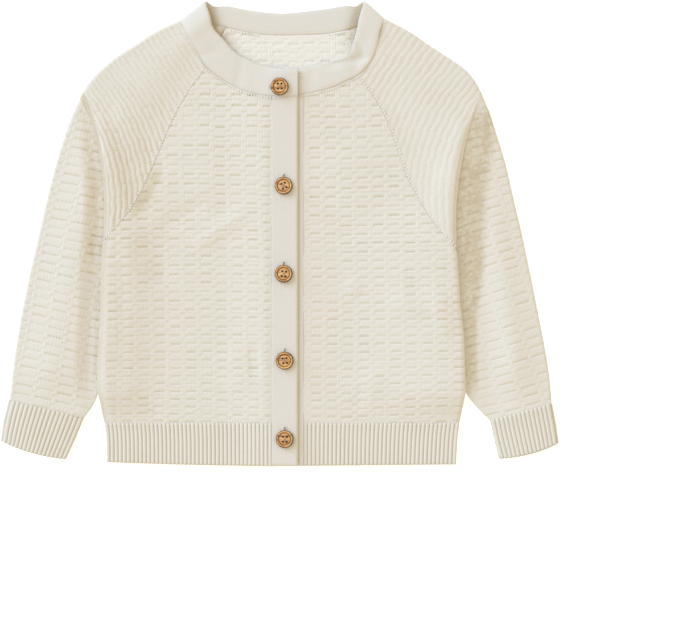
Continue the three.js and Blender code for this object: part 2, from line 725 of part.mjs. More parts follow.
addCloth("back", backGrids(), knitCream);
addCloth("front_right", frontGrids(leftSide, placketLeftEdge), knitCream);
addCloth("front_left", frontGrids(rightSide, buttonBandRightEdge), knitCream);
addCloth("sleeve_right", sleeveGrids(leftSide), knitCream);
addCloth("sleeve_left", sleeveGrids(rightSide), knitCream);
addCloth("cuff_right", cuffGrids(leftSide), ribCream);
addCloth("cuff_left", cuffGrids(rightSide), ribCream);

// The hem in three lengths; only its outer face on the fronts shows its ribs
const leftEdgeAt = (y) => sideEdge(leftSide, y);
const rightEdgeAt = (y) => sideEdge(rightSide, y);
const hemLeftLength = placketLeftEdge - leftEdgeAt(hemBottom);
const hemRightLength = rightEdgeAt(hemBottom) - buttonBandRightEdge;
addCloth("hem_rib_front_right", hemGrids(
  leftEdgeAt, () => placketLeftEdge - seamGap, Math.round(hemLeftLength / ribPitch),
  (share) => mix(hemFrontBottoms.leftSide, hemFrontBottoms.bands, Math.sin(share * Math.PI / 2)),
  frontUnder,
), ribCream);
addCloth("hem_rib_front_left", hemGrids(
  () => buttonBandRightEdge + seamGap, rightEdgeAt, Math.round(hemRightLength / ribPitch),
  (share) => mix(hemFrontBottoms.bands, hemFrontBottoms.rightSide, share), frontUnder,
), ribCream);
const hemBackLines = spread(leftEdgeAt(hemBottom), rightEdgeAt(hemBottom), 6);
const hemBackTop = () => hemTop - seamGap / 2;
addCloth("hem_rib_back", stripGrids(hemBackLines, hemBackTop, hemBackBottom, 2, 0, wall), ribCream);

// The button band lies under the buttonhole band
const placketLeftUnder = wall + layerGap + seamGap;
const placketUnder = wall + layerGap + placketRise;
const placketTop = placketUnder + placketWall;
const neckbandTop = neckbandTable.at(-1).height + bandWall / 2;
const [underEnd, nextRow] = neckbandTable;
const underSlope = (nextRow.seamY - underEnd.seamY) / (nextRow.seamX - underEnd.seamX);
const buttonBandTop = (x) => underEnd.seamY + (x - underEnd.seamX) * underSlope - 1.3 * seamGap;
const buttonholeBandTop = () => neckbandTable.at(-1).seamY - seamGap;
const buttonBandLines = spread(buttonBandLeftEdge, buttonBandRightEdge, 3);
const buttonholeBandLines = spread(placketLeftEdge, placketRightEdge, 3);
addCloth("placket_left", stripGrids(
  buttonBandLines, buttonBandTop, hemBottom, bandRows, placketLeftUnder, placketWall,
), bandCream);
addCloth("placket_right", stripGrids(
  buttonholeBandLines, buttonholeBandTop, hemBottom, bandRows, placketUnder, placketWall,
), bandCream);

addPiece("neckband", clothGeometry(...neckbandGrids()), bandCream);

buttonCentres.forEach(([x, y], index) => {
  const button = addPiece(`button_${index + 1}`, buttonGeometry(), buttonWood);
  button.position.set(x, y, (index === 0 ? neckbandTop : placketTop) + seamGap);
});

export default garment;
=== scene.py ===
import math
import bpy
import numpy as np
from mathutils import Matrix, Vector


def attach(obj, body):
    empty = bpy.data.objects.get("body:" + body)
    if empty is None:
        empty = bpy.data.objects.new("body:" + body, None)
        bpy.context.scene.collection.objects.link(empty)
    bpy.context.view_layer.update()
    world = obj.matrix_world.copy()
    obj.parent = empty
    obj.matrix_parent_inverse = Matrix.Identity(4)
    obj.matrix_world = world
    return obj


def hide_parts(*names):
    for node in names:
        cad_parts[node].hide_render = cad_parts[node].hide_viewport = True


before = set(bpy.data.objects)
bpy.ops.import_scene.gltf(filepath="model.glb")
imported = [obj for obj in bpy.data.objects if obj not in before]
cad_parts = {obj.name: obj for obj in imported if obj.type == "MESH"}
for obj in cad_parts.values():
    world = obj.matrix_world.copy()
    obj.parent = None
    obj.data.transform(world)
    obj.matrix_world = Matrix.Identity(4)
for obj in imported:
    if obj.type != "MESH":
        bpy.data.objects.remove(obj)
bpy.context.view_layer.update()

# The view: straight down on the cardigan as it lies on a white table. Soft bluish light from the
# upper left, as from a window, draws the knit, and warm light from all round fills its shadows.
MM = 0.001
CAMERA_AIM = (42.35, -55.65, 5.0)
CAMERA_HEIGHT = 1322.0
CAMERA_LENS = 100
CAMERA_SENSOR = 36
CAMERA_REACH = 20
WINDOW_FROM = (-0.77, 0.57, 0.44)
WINDOW_STRENGTH = 2.95
WINDOW_SOFTNESS = 46.0
WINDOW_COLOUR = (0.42, 0.62, 1.0)
FILL_COLOUR = (1.0, 0.90, 0.735)
FILL_STRENGTH = 0.84
TABLE_COLOUR = (0.95, 0.95, 0.95, 1.0)
TABLE_HALF = 3000.0
TABLE_TOP = -0.2
TABLE_ROUGHNESS = 0.9
TABLE_SHINE = 0.1
TABLE_GLOW = 0.45

scene = bpy.context.scene
scene.view_settings.view_transform = "Standard"

camera_data = bpy.data.cameras.new("camera")
camera_data.lens = CAMERA_LENS
camera_data.sensor_width = CAMERA_SENSOR
camera = bpy.data.objects.new("camera", camera_data)
camera.location = (CAMERA_AIM[0] * MM, CAMERA_AIM[1] * MM, (CAMERA_AIM[2] + CAMERA_HEIGHT) * MM)
camera_data.clip_end = CAMERA_REACH
scene.collection.objects.link(camera)
scene.camera = camera

window_data = bpy.data.lights.new("window", "SUN")
window_data.energy = WINDOW_STRENGTH
window_data.angle = math.radians(WINDOW_SOFTNESS)
window_data.color = WINDOW_COLOUR
window = bpy.data.objects.new("window", window_data)
window.rotation_euler = Vector(WINDOW_FROM).to_track_quat("Z", "Y").to_euler()
scene.collection.objects.link(window)

world = bpy.data.worlds.new("room")
world.use_nodes = True
world.node_tree.nodes["Background"].inputs["Color"].default_value = (*FILL_COLOUR, 1)
world.node_tree.nodes["Background"].inputs["Strength"].default_value = FILL_STRENGTH
scene.world = world


def new_material(name, values):
    """A material with values set on its shader's own sockets, and its tree and its shader."""
    material = bpy.data.materials.new(name)
    material.use_nodes = True
    shader = material.node_tree.nodes["Principled BSDF"]
    for socket, value in values.items():
        shader.inputs[socket].default_value = value
    return material, material.node_tree, shader


table_mesh = bpy.data.meshes.new("table")
table_mesh.from_pydata(
    [
        (x * TABLE_HALF * MM, y * TABLE_HALF * MM, TABLE_TOP * MM)
        for x, y in ((-1, -1), (1, -1), (1, 1), (-1, 1))
    ],
    [], [(0, 1, 2, 3)],
)
table_mesh.materials.append(new_material("table_paint", {
    "Base Color": TABLE_COLOUR, "Roughness": TABLE_ROUGHNESS, "Specular IOR Level": TABLE_SHINE,
    "Emission Color": (1, 1, 1, 1), "Emission Strength": TABLE_GLOW,
})[0])
table_top = bpy.data.objects.new("table_top", table_mesh)
scene.collection.objects.link(table_top)


# The back: one panel of cotton block knit, cream, with its side edges resting on the sleeves.
# It is knitted in wide raised blocks and narrow ones half a block lower, and lies face down.
WALL = 1.8
SEAM_GAP = 0.3
SIDE_ROUND_WIDTH = 3.4
LIFT_SHELF = 6.0
LIFT_RAMPS = (48.0, 84.0)
# side edges: y, left x, right x, lift of the back, lift of the fronts
SIDES = [
    (60, -106, 104, 0, 0), (40, -109, 107, 0, 0.3), (20, -115, 113, 0, 1.4), (8, -119, 118, 0, 2.9),
    (-4.9, -122.4, 121.6, 1, 4.2), (-11.2, -123.2, 123, 2.4, 4.4), (-18, -124, 124.5, 4.4, 4.4),
    (-26, -124.5, 125.2, 4.4, 4.4), (-46.9, -124.8, 126.4, 4.4, 4.4), (-71.4, -126, 129, 4.4, 4.4),
    (-93.1, -127.3, 129.7, 4.4, 4.4), (-111, -127, 130.1, 4.4, 4.4), (-119, -125.4, 128.9, 3, 3),
    (-126, -124.3, 127.4, 1.2, 1.2), (-133.7, -122.6, 125.9, 0.2, 0.2),
    (-144.9, -121.6, 124.6, 0, 0), (-163.1, -121.4, 123.6, 0, 0),
]
BODY_ROWS = [-20.3, -34, -46.9, -59, -71.4, -82, -93.1, -102, -111, -119, -126, -133.7]
# front raglan seams: place along the seam, left x, y, right x, y, bow of the front's rows
RAGLANS = [
    (0, -51.1, 116.2, 54.3, 109.9, 0), (0.14, -64.8, 97.3, 65.2, 96, 4),
    (0.27, -75.3, 77.7, 75.4, 78.8, 2.5), (0.42, -83.6, 58, 82.6, 59, 1),
    (0.56, -91.4, 40.6, 89, 40.6, 0), (0.7, -99.7, 23.5, 97.6, 23.6, 0),
    (0.84, -109, 10, 108, 7.2, 0), (1, -122.4, -4.9, 123, -11.2, 0),
]
BACK_NECK = [
    (48, 142.1), (31.9, 139.3), (14.4, 138.6), (-0.4, 138.3), (-15.8, 139.3), (-36.1, 143.5),
]
BACK_NECK_ENDS = {-1: (-37.2, 143.2), 1: (49.4, 141.4)}
BODY_KNIT = {"column": 11.0, "row": 6.3, "relief": 0.68}
BACK_WIDTH = 250
BACK_STEP = 1.35
BACK_SEAM_ROWS = (0, 0.16, 0.32, 0.48, 0.64, 0.78, 0.9, 1)
INSIDE_STEP = 6
WIDE_SHARE = 0.66
HALF_ROWS = 0.35
NECK_TUCK = 0.35
# the relief of one block, in shares of its height or width: the groove at its foot, the groove of
# a half row, the step at its side, its dome, and how uneven one block is beside the next
CHANCE_SEED = 5
CHANCE_SHAPE = (97, 89, 3)
COLUMN_SHIFT = 0.14
BLOCK_UNEVEN = 0.06
WIDE_DEPTH = (0.45, 1.0)
NARROW_DEPTH = (0.15, 0.5)
FOOT_PLACE = 0.9
FOOT_WIDTH = 0.1
HALF_PLACE = 0.42
HALF_WIDTH = 0.08
HALF_CHANCE = (0.35, 0.9)
SIDE_WIDTH = 0.14
SIDE_DEPTH = 0.16
DOME_ACROSS = 0.05
DOME_DOWN = 0.1
# stitches across and down one block, and the depth of a stitch
BLOCK_STITCH = (6, 5, 0.16)
KNIT_ROUGHNESS = 0.92
KNIT_SHINE = 0.18
KNIT_SHEEN = 0.25
SHEEN_ROUGHNESS = 0.6
LEG_SLANT = 0.9
STITCH_SHARE = 0.45
STITCH_BUMP = 0.8
FUZZ_SCALE = 900
FUZZ_SHARE = 2.0
PATCH_SCALE = 60
PATCH_TONE = 0.4
LOOP_TONE = 0.08
# The knit's colours along its tone: the deep colour is painted shade for the deepest hollows, and
# the crown colour is the cream itself.
TONE_STOPS = (0.04, 0.4, 0.85)
CREAM_CROWN = (0.785, 0.745, 0.645)
CREAM_DEEP = (0.60, 0.51, 0.355)
# a lighter cream for the inside of the back: painted light against the shade round the neck
INSIDE_CROWN = (0.86, 0.83, 0.745)
# the back's grooves are painted darker, as shade
BACK_GROOVE_TONE = 0.5
BACK_EDGE_FADE = 2.0
EDGE_THIN = 0.35
BACK_SIDE_ROUND = 1.1
NECK_SHADE_TONE = 0.8
NECK_SHADE_WIDTHS = (8.5, 9.0)
NECK_SHADE_RISE = (119, 141)
# free edge of the front of the neckband, as seen over the back: y, left x, right x
NECK_FOLD = [
    (121.1, -20.7, 43.1), (126.7, -30.5, 46), (135.8, -39.2, 52), (143.5, -46.1, 54.5),
    (151.5, -48.6, 56), (163.1, -51.8, 59.5),
]


def curve_through(keys, values, places):
    """A smooth curve that passes through the values at the keys, read at other places."""

    def spread(numbers):
        return numbers if values.ndim == 1 else numbers[:, None]

    slopes = np.empty_like(values)
    slopes[1:-1] = (values[2:] - values[:-2]) / spread(keys[2:] - keys[:-2])
    slopes[0] = (values[1] - values[0]) / (keys[1] - keys[0])
    slopes[-1] = (values[-1] - values[-2]) / (keys[-1] - keys[-2])
    at = np.clip(np.searchsorted(keys, places, "right") - 1, 0, len(keys) - 2)
    gap = spread(keys[at + 1] - keys[at])
    f = spread(places - keys[at]) / gap
    return (
        (2 * f**3 - 3 * f**2 + 1) * values[at] + (f**3 - 2 * f**2 + f) * slopes[at] * gap
        + (3 * f**2 - 2 * f**3) * values[at + 1] + (f**3 - f**2) * slopes[at + 1] * gap
    )


def read_table(rows, key_column, key, column):
    """A smooth reading of one column of a table at values of another."""
    rows = np.asarray(rows, float)
    if rows[-1, key_column] < rows[0, key_column]:
        rows = rows[::-1]
    keys, values = rows[:, key_column], rows[:, column]
    return curve_through(keys, values, np.clip(np.asarray(key, float), keys[0], keys[-1]))


def smooth(low, high, value):
    f = np.clip((np.asarray(value, float) - low) / (high - low), 0, 1)
    return f * f * (3 - 2 * f)


def mix(start, end, share):
    return start + (end - start) * share


def side_edge(sign, y):
    return read_table(SIDES, 0, y, 1 if sign < 0 else 2)


def body_lift(x, y, column):
    lift = np.maximum(0, read_table(SIDES, 0, y, column))
    from_left = smooth(LIFT_SHELF, LIFT_RAMPS[0], x - side_edge(-1, y))
    from_right = smooth(LIFT_SHELF, LIFT_RAMPS[1], side_edge(1, y) - x)
    return lift * (1 - np.minimum(from_left, from_right))


def bump_at(distance, half_width):
    """A soft bump, 1 at its middle and falling off with the distance from it."""
    return np.exp(-((distance / half_width) ** 2))


def neck_shade(x, y):
    """How deep in the shaded corners behind the front of the neckband a point lies, 0 to 1."""
    from_left = np.maximum(x - read_table(NECK_FOLD, 0, y, 1), 0)
    from_right = np.maximum(read_table(NECK_FOLD, 0, y, 2) - x, 0)
    corners = bump_at(from_left, NECK_SHADE_WIDTHS[0]) + bump_at(from_right, NECK_SHADE_WIDTHS[1])
    return smooth(*NECK_SHADE_RISE, y) * corners


def side_round(distance, amount, width=SIDE_ROUND_WIDTH):
    return amount * (1 - np.sqrt(smooth(-0.01, width, distance)))


def resample_rows(rows, step):
    """Rows of points made denser along each column with smooth curves, about a step apart."""
    rows = np.asarray(rows, float)
    reach = np.linalg.norm(np.diff(rows, axis=0), axis=2).max(axis=1)
    lengths = np.linalg.norm(np.diff(rows, axis=0), axis=2).mean(axis=1)
    knots = np.concatenate([[0], np.cumsum(lengths)])
    counts = np.maximum(1, np.round(reach / step).astype(int))
    spare = -int(counts.sum()) % INSIDE_STEP
    counts[np.argsort(-reach)[:spare] if spare <= len(counts) else slice(None)] += 1
    places = np.concatenate([
        np.linspace(knots[i], knots[i + 1], counts[i], endpoint=False) for i in range(len(counts))
    ] + [[knots[-1]]])
    dense = curve_through(knots, rows.reshape(len(rows), -1), places)
    return dense.reshape(len(places), *rows.shape[1:])


def even_count(length, step):
    return int(round(length / step / INSIDE_STEP)) * INSIDE_STEP


block_chance = np.random.default_rng(CHANCE_SEED).random(CHANCE_SHAPE)


def chance_of(column, row):
    """Three draws between 0 and 1 for a block of the knit, the same each time it is asked for."""
    return block_chance[column % CHANCE_SHAPE[0], row % CHANCE_SHAPE[1]]


def block_crown(columns, rows, wide_share=WIDE_SHARE, halves=HALF_ROWS):
    """Height of the knit, 0 in the grooves to 1 on the blocks, at counts of columns and rows."""
    column = np.floor(columns).astype(int)
    in_column = columns - column
    wide = in_column < wide_share
    local = np.where(wide, in_column / wide_share, (in_column - wide_share) / (1 - wide_share))
    shift = chance_of(2 * column + wide, 0)[..., 2] - 0.5
    drop = rows + np.where(wide, 0.0, 0.5) + COLUMN_SHIFT * shift
    block = np.floor(drop).astype(int)
    down = drop - block
    each = chance_of(column * 2 + wide, block)
    uneven = BLOCK_UNEVEN * (each[..., 1] - 0.5)
    depth = np.where(wide, mix(*WIDE_DEPTH, each[..., 0]), mix(*NARROW_DEPTH, each[..., 0]))
    foot = bump_at(down - FOOT_PLACE + uneven, FOOT_WIDTH) + bump_at(down + FOOT_WIDTH, FOOT_WIDTH)
    half = bump_at(down - HALF_PLACE, HALF_WIDTH) * halves * smooth(*HALF_CHANCE, each[..., 2])
    side = bump_at(1 - local, SIDE_WIDTH) * SIDE_DEPTH * each[..., 1]
    dome = DOME_ACROSS * (2 * local - 1) ** 2 + DOME_DOWN * (2 * down - FOOT_PLACE) ** 2
    taper = 1 - 0.5 * np.abs(2 * local - 1) ** 6
    return np.clip(1 - (depth * foot + half) * taper - side - dome + uneven, 0, 1)


def cloth_shell(name, outer, inner, knit, crown, material):
    """A closed cloth shell: a fine outer grid, a coarser inner one, and a rim that joins them."""
    rows, columns = outer.shape[:2]
    inner_rows, inner_columns = inner.shape[:2]
    ids = np.arange(rows * columns).reshape(rows, columns)
    inner_ids = np.arange(inner_rows * inner_columns).reshape(inner_rows, inner_columns)
    inner_ids = inner_ids + rows * columns

    def quads(grid):
        corners = [grid[:-1, :-1], grid[1:, :-1], grid[1:, 1:], grid[:-1, 1:]]
        return np.stack(corners, -1).reshape(-1, 4)

    def border(grid):
        return np.concatenate([grid[0, :-1], grid[:-1, -1], grid[-1, :0:-1], grid[:0:-1, 0]])

    faces = quads(ids).tolist() + quads(inner_ids)[:, ::-1].tolist()
    fine, coarse = border(ids), border(inner_ids)
    ratio = len(fine) // len(coarse)
    for j in range(len(coarse)):
        here, after = int(coarse[j]), int(coarse[(j + 1) % len(coarse)])
        middle = j * ratio + ratio // 2
        for i in range(j * ratio, (j + 1) * ratio):
            pivot = here if i < middle else after
            faces.append((int(fine[i]), int(fine[(i + 1) % len(fine)]), pivot))
        faces.append((int(fine[middle % len(fine)]), after, here))
    points = np.concatenate([outer.reshape(-1, 3), inner.reshape(-1, 3)])
    stride = (rows - 1) // (inner_rows - 1), (columns - 1) // (inner_columns - 1)
    inner_knit = knit[:: stride[0], :: stride[1]]
    inner_crown = crown[:: stride[0], :: stride[1]]
    knit_all = np.concatenate([knit.reshape(-1, 2), inner_knit.reshape(-1, 2)])
    crown_all = np.concatenate([crown.ravel(), inner_crown.ravel()])
    return finish_cloth(name, points, faces, knit_all, crown_all, material)


def finish_cloth(name, points, faces, knit, crown, material):
    """The piece itself, in metres, faces outwards, with its knit map and its crown attribute, the
    tone that also carries the painted shade.
    """
    mesh = bpy.data.meshes.new(name)
    mesh.from_pydata((points * MM).tolist(), [], faces)
    mesh.validate()
    corners = np.empty(len(mesh.loops), int)
    mesh.loops.foreach_get("vertex_index", corners)
    knit_map = mesh.uv_layers.new(name="knit")
    knit_map.uv.foreach_set("vector", knit[corners].astype(np.float32).ravel())
    height = mesh.attributes.new("crown", "FLOAT", "POINT")
    height.data.foreach_set("value", crown.astype(np.float32))
    mesh.calc_loop_triangles()
    triangles = np.empty(len(mesh.loop_triangles) * 3, int)
    mesh.loop_triangles.foreach_get("vertices", triangles)
    a, b, c = (points[triangles.reshape(-1, 3)[:, i]] for i in range(3))
    if np.einsum("ij,ij->i", a, np.cross(b, c)).sum() < 0:
        mesh.flip_normals()
    mesh.shade_smooth()
    mesh.materials.append(material)
    piece = bpy.data.objects.new(name, mesh)
    scene.collection.objects.link(piece)
    return piece


def edge_fade(rows, columns, step, width, sides="tblr"):
    """0 at the named edges of a grid, 1 further in than the width."""
    fade = np.ones((rows, columns))
    down = np.arange(rows)[:, None] * step * np.ones((1, columns))
    across = np.arange(columns)[None] * step * np.ones((rows, 1))
    for side, distance in (("t", down), ("b", down[::-1]), ("l", across), ("r", across[:, ::-1])):
        if side in sides:
            fade = fade * smooth(-0.2 * width, width, distance)
    return fade


def place_node(tree, kind, links=(), **settings):
    """A node with its settings made and its inputs joined or given."""
    node = tree.nodes.new(kind)
    for key, value in settings.items():
        setattr(node, key, value)
    for socket, value in dict(links).items():
        if isinstance(value, bpy.types.NodeSocket):
            tree.links.new(value, node.inputs[socket])
        else:
            node.inputs[socket].default_value = value
    return node


def math_node(tree, operation, *values):
    node = tree.nodes.new("ShaderNodeMath")
    node.operation = operation
    for socket, value in zip(node.inputs, values):
        if isinstance(value, (int, float)):
            socket.default_value = value
        else:
            tree.links.new(value, socket)
    return node.outputs[0]


def add_bump(tree, shader, height, strength, depth):
    """The finest relief, as a bump on the shader, its depth in millimetres."""
    bump = place_node(
        tree, "ShaderNodeBump", {"Strength": strength, "Distance": depth * MM, "Height": height},
    )
    tree.links.new(bump.outputs[0], shader.inputs["Normal"])


def knit_material(name, colours, stitches, rows, stitch_depth, sheen=KNIT_SHEEN):
    """Matt cotton knit: stitches of two slanting legs in columns, fine fuzz, and painted shade:
    darker, warmer colour in the hollows.
    """
    material, tree, shader = new_material(name, {
        "Roughness": KNIT_ROUGHNESS, "Specular IOR Level": KNIT_SHINE,
        "Sheen Weight": sheen, "Sheen Roughness": SHEEN_ROUGHNESS,
    })
    knit_map = place_node(tree, "ShaderNodeUVMap", uv_map="knit")
    split = place_node(tree, "ShaderNodeSeparateXYZ", {0: knit_map.outputs[0]})
    along = math_node(tree, "MULTIPLY", split.outputs[0], stitches)
    down = math_node(tree, "MULTIPLY", split.outputs[1], rows)
    leg = math_node(tree, "SUBTRACT", math_node(tree, "FRACT", along), 0.5)
    leg = math_node(tree, "ABSOLUTE", leg)
    slant = math_node(tree, "ADD", down, math_node(tree, "MULTIPLY", leg, LEG_SLANT))
    loop = math_node(tree, "SINE", math_node(tree, "MULTIPLY", slant, 2 * math.pi))
    valley = math_node(tree, "POWER", math_node(tree, "MULTIPLY", leg, 2.0), 3.0)
    stitch = math_node(tree, "SUBTRACT", math_node(tree, "MULTIPLY", loop, 0.5), valley)
    place = tree.nodes.new("ShaderNodeTexCoord").outputs["Object"]
    fuzz = {"Scale": FUZZ_SCALE, "Detail": 3, "Vector": place}
    fuzz = place_node(tree, "ShaderNodeTexNoise", fuzz).outputs["Fac"]
    loops = math_node(tree, "MULTIPLY", stitch, STITCH_SHARE)
    relief = math_node(tree, "ADD", loops, math_node(tree, "MULTIPLY", fuzz, FUZZ_SHARE))
    add_bump(tree, shader, relief, STITCH_BUMP, stitch_depth)
    # The crown attribute holds the knit's height and the painted shade; low values take the darker
    # colours, and the stitch loops are painted a little darker in their hollows.
    crown = place_node(tree, "ShaderNodeAttribute", attribute_name="crown").outputs["Fac"]
    patches = {"Scale": PATCH_SCALE, "Detail": 4, "Vector": place}
    patches = place_node(tree, "ShaderNodeTexNoise", patches).outputs["Fac"]
    height = math_node(tree, "ADD", crown, math_node(tree, "MULTIPLY", loop, LOOP_TONE))
    height = math_node(tree, "ADD", height, math_node(tree, "MULTIPLY", patches, PATCH_TONE))
    height = math_node(tree, "SUBTRACT", height, PATCH_TONE / 2)
    tint = tree.nodes.new("ShaderNodeValToRGB")
    for position, colour in zip(TONE_STOPS, colours):
        stop = tint.color_ramp.elements.new(position)
        stop.color = (*colour, 1)
    tint.color_ramp.elements.remove(tint.color_ramp.elements[-1])
    tint.color_ramp.elements.remove(tint.color_ramp.elements[0])
    tree.links.new(height, tint.inputs[0])
    tree.links.new(tint.outputs[0], shader.inputs["Base Color"])
    return material


# The back's inside is painted a lighter cream, as light against the shade round the neck.
inside_knit = knit_material("inside_knit", (CREAM_DEEP, CREAM_CROWN, INSIDE_CROWN), *BLOCK_STITCH)


def back_seam(sign, share):
    top_x, top_y = BACK_NECK_ENDS[sign]
    end_x, end_y = RAGLANS[-1][1:3] if sign < 0 else RAGLANS[-1][3:5]
    return np.array([mix(top_x, end_x, share), mix(top_y, end_y, share)])


def back_cloth():
    across = np.linspace(0, 1, even_count(BACK_WIDTH, BACK_STEP) + 1)
    gap = SEAM_GAP / 2
    ends = [(back_seam(-1, share), back_seam(1, share)) for share in BACK_SEAM_ROWS]
    ends += [((side_edge(-1, y), y), (side_edge(1, y), y)) for y in BODY_ROWS]
    rows = []
    for index, (left, right) in enumerate(ends):
        x = mix(left[0] + gap, right[0] - gap, across)
        y = mix(left[1], right[1], across)
        if index == 0:
            y = read_table(BACK_NECK, 0, x, 1) + NECK_TUCK
        rows.append(np.stack([x, y], -1))
    plan = resample_rows(rows, BACK_STEP)
    plan[-1, :, 1] += gap
    x, y = plan[..., 0], plan[..., 1]
    inside = np.minimum(x - side_edge(-1, y), side_edge(1, y) - x) - gap
    below = y < RAGLANS[-1][2]
    lift = body_lift(x, y, 3)
    under = lift + np.where(below, side_round(np.maximum(inside, 0), BACK_SIDE_ROUND), 0)
    knit = np.stack([x / BODY_KNIT["column"] + 0.4, -y / BODY_KNIT["row"]], -1)
    crown = block_crown(knit[..., 0], knit[..., 1])
    fade = edge_fade(*x.shape, BACK_STEP, BACK_EDGE_FADE)
    hollow = (1 - crown) * BODY_KNIT["relief"] * fade
    outer = np.stack([x, y, under + hollow + EDGE_THIN * (1 - fade)], -1)
    inner = np.stack([x, y, lift + WALL - hollow], -1)
    # Painted shade: darker grooves, and darker corners behind the front of the neckband.
    tone = mix(BACK_GROOVE_TONE, 1, crown) - NECK_SHADE_TONE * neck_shade(x, y)
    return cloth_shell("back_cloth", outer, inner, knit, np.clip(tone, 0, 1), inside_knit)


back = back_cloth()
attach(back, "root")
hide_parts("back")


# The two fronts: panels of the same block knit, shaped at the raglan and laid over the back.
# They are lifted by the sleeves at their sides and keep a few soft folds from the underarm.
LAYER_GAP = 0.4
REST_GAP = 0.7
LEAST_GAP = 0.25
LAP_START = -42.0
HEM_TOP = -133.7
PLACKET_LEFT_EDGE = -5.4
BUTTON_BAND_RIGHT_EDGE = 17.0
BAND_TUCK = 0.25
BAND_STEP_DOWN = {-1: 0.36, 1: -0.06}
EDGE_SINK = 0.28
PLACKET_RISE = 2.4
NECK_SEAMS = {
    -1: [(-69.3, 149.8), (-65.5, 138.6), (-59.2, 129.5), (-51.1, 116.2), (-37.5, 105.7),
         (-25.6, 99.4), (-13.7, 96.3), (-1, 95.2), (12.95, 95.2)],
    1: [(73.1, 150.9), (71, 140.4), (68.3, 129.7), (63.4, 119), (54.3, 109.9),
        (46.3, 106.1), (38.2, 102.2), (24.9, 98.3), (16.8, 97), (-0.4, 95.6)],
}
NECK_STOPS = {-1: (3 / 8, 6.65 / 8), 1: (4 / 9, 7.97 / 9)}
SIDE_CALM = {-1: (1.0, 7.0), 1: (0.0, 1.5)}
FRONT_ROUND = {-1: 6.5, 1: 3.4}
# painted shade along the fronts' side edges and on the sleeves beside the tuck's roll
EDGE_SHADE = {-1: 0.6, 1: 0.1}
# soft folds: ridge from x, y to x, y, half width, height
FOLDS = [
    (-60, -10, -20, 18, 6, 0.8), (-82, 4, -52, 22, 5, -0.5), (-84, 50, -101, 10, 6, -1.5),
    (-99, -2, -83, -36, 9, -1.0), (-114, 20, -113, -125, 6, -0.7),
    (-112, 92, -94, 52, 9, 1.0), (74, -47, 122, -57, 10, 0.9),
    (50, -122, 74, -94, 9, 0.7), (-34, -80, -27, -114, 10, 0.7), (-52, 78, -40, 20, 18, 0.8),
    (42, 60, 56, 8, 20, 0.9), (-19, -78, -17, -102, 4, -0.7), (52, -124, 60, -106, 5, -0.6),
    (90, -32, 110, -66, 7, -0.8), (48, -34, 54, -44, 5, 0.5), (-104, -112, -84, -130, 6, -0.7),
]
FOLD_RISE = (-0.15, 0.3)
FOLD_FALL = (0.65, 1.15)
# the folds' hollows are painted darker, as shade
FOLD_SHADE = 0.22
FRONT_WIDTH = 117
ROW_CLOSING = 0.0045
KNIT_STEP = 0.8
KNIT_FADE = 1.4
FRONT_SIDE_ROUND = (1.2, 0.2)
BAND_CALM = (0.3, 2.0)
CALM_CROWN = 0.85
# the knit's grooves are painted darker, and warmer in the hollow cream, as shade
GROOVE_TONE = 0.4
CREAM_HOLLOW = (0.71, 0.645, 0.49)
# shaded hollows beside the raglan and the side: x, y, radius, depth
FRONT_SHADES = [
    (-93, 24, 9, 0.34), (-101, 13, 8, 0.3), (-86, 37, 7, 0.2), (-109, 3, 7, 0.22),
    (112, 2, 10, 0.12), (118, -24, 9, 0.14), (119, -50, 9, 0.24), (120, -68, 9, 0.24),
]


def between(rise, fall, value):
    """1 between two limits, with a smooth rise before them and a smooth fall after them."""
    return smooth(*rise, value) * (1 - smooth(*fall, value))


def beside_line(x, y, x1, y1, x2, y2):
    """How far along a line a point lies, as a share of it, and how far beside it."""
    length = math.hypot(x2 - x1, y2 - y1)
    ax, ay = (x2 - x1) / length, (y2 - y1) / length
    return ((x - x1) * ax + (y - y1) * ay) / length, (x - x1) * ay - (y - y1) * ax


def fold_height(x, y):
    height = np.zeros(np.broadcast(x, y).shape)
    for *ends, half_width, ridge in FOLDS:
        share, across = beside_line(x, y, *ends)
        height = height + ridge * between(FOLD_RISE, FOLD_FALL, share) * bump_at(across, half_width)
    return height


def front_under(x, y):
    back_lift = body_lift(x, y, 3)
    hem_calm = smooth(HEM_TOP - 6, HEM_TOP + 10, y)
    raised = np.maximum(body_lift(x, y, 4), back_lift) + mix(LAYER_GAP, REST_GAP, hem_calm)
    lap = np.where(x < 0, PLACKET_RISE * smooth(LAP_START, PLACKET_LEFT_EDGE, x), 0)
    return np.maximum(raised + fold_height(x, y) * hem_calm, back_lift + LEAST_GAP) + WALL + lap


def centripetal(points, shares):
    """Points at even shares of a curve that passes through all the given points."""
    points = np.asarray(points, float)
    points = np.concatenate([[2 * points[0] - points[1]], points, [2 * points[-1] - points[-2]]])
    place = np.clip(np.asarray(shares, float), 0, 1) * (len(points) - 3)
    at = np.minimum(place.astype(int), len(points) - 4)
    f = (place - at)[:, None]
    p0, p1, p2, p3 = (points[at + i] for i in range(4))
    d0, d1, d2 = (
        np.maximum(np.linalg.norm(b - a, axis=1, keepdims=True) ** 0.5, 1e-4)
        for a, b in ((p0, p1), (p1, p2), (p2, p3))
    )
    t1 = ((p1 - p0) / d0 - (p2 - p0) / (d0 + d1) + (p2 - p1) / d1) * d1
    t2 = ((p2 - p1) / d1 - (p3 - p1) / (d1 + d2) + (p3 - p2) / d2) * d1
    c2 = -3 * p1 + 3 * p2 - 2 * t1 - t2
    c3 = 2 * p1 - 2 * p2 + t1 + t2
    return p1 + t1 * f + c2 * f**2 + c3 * f**3


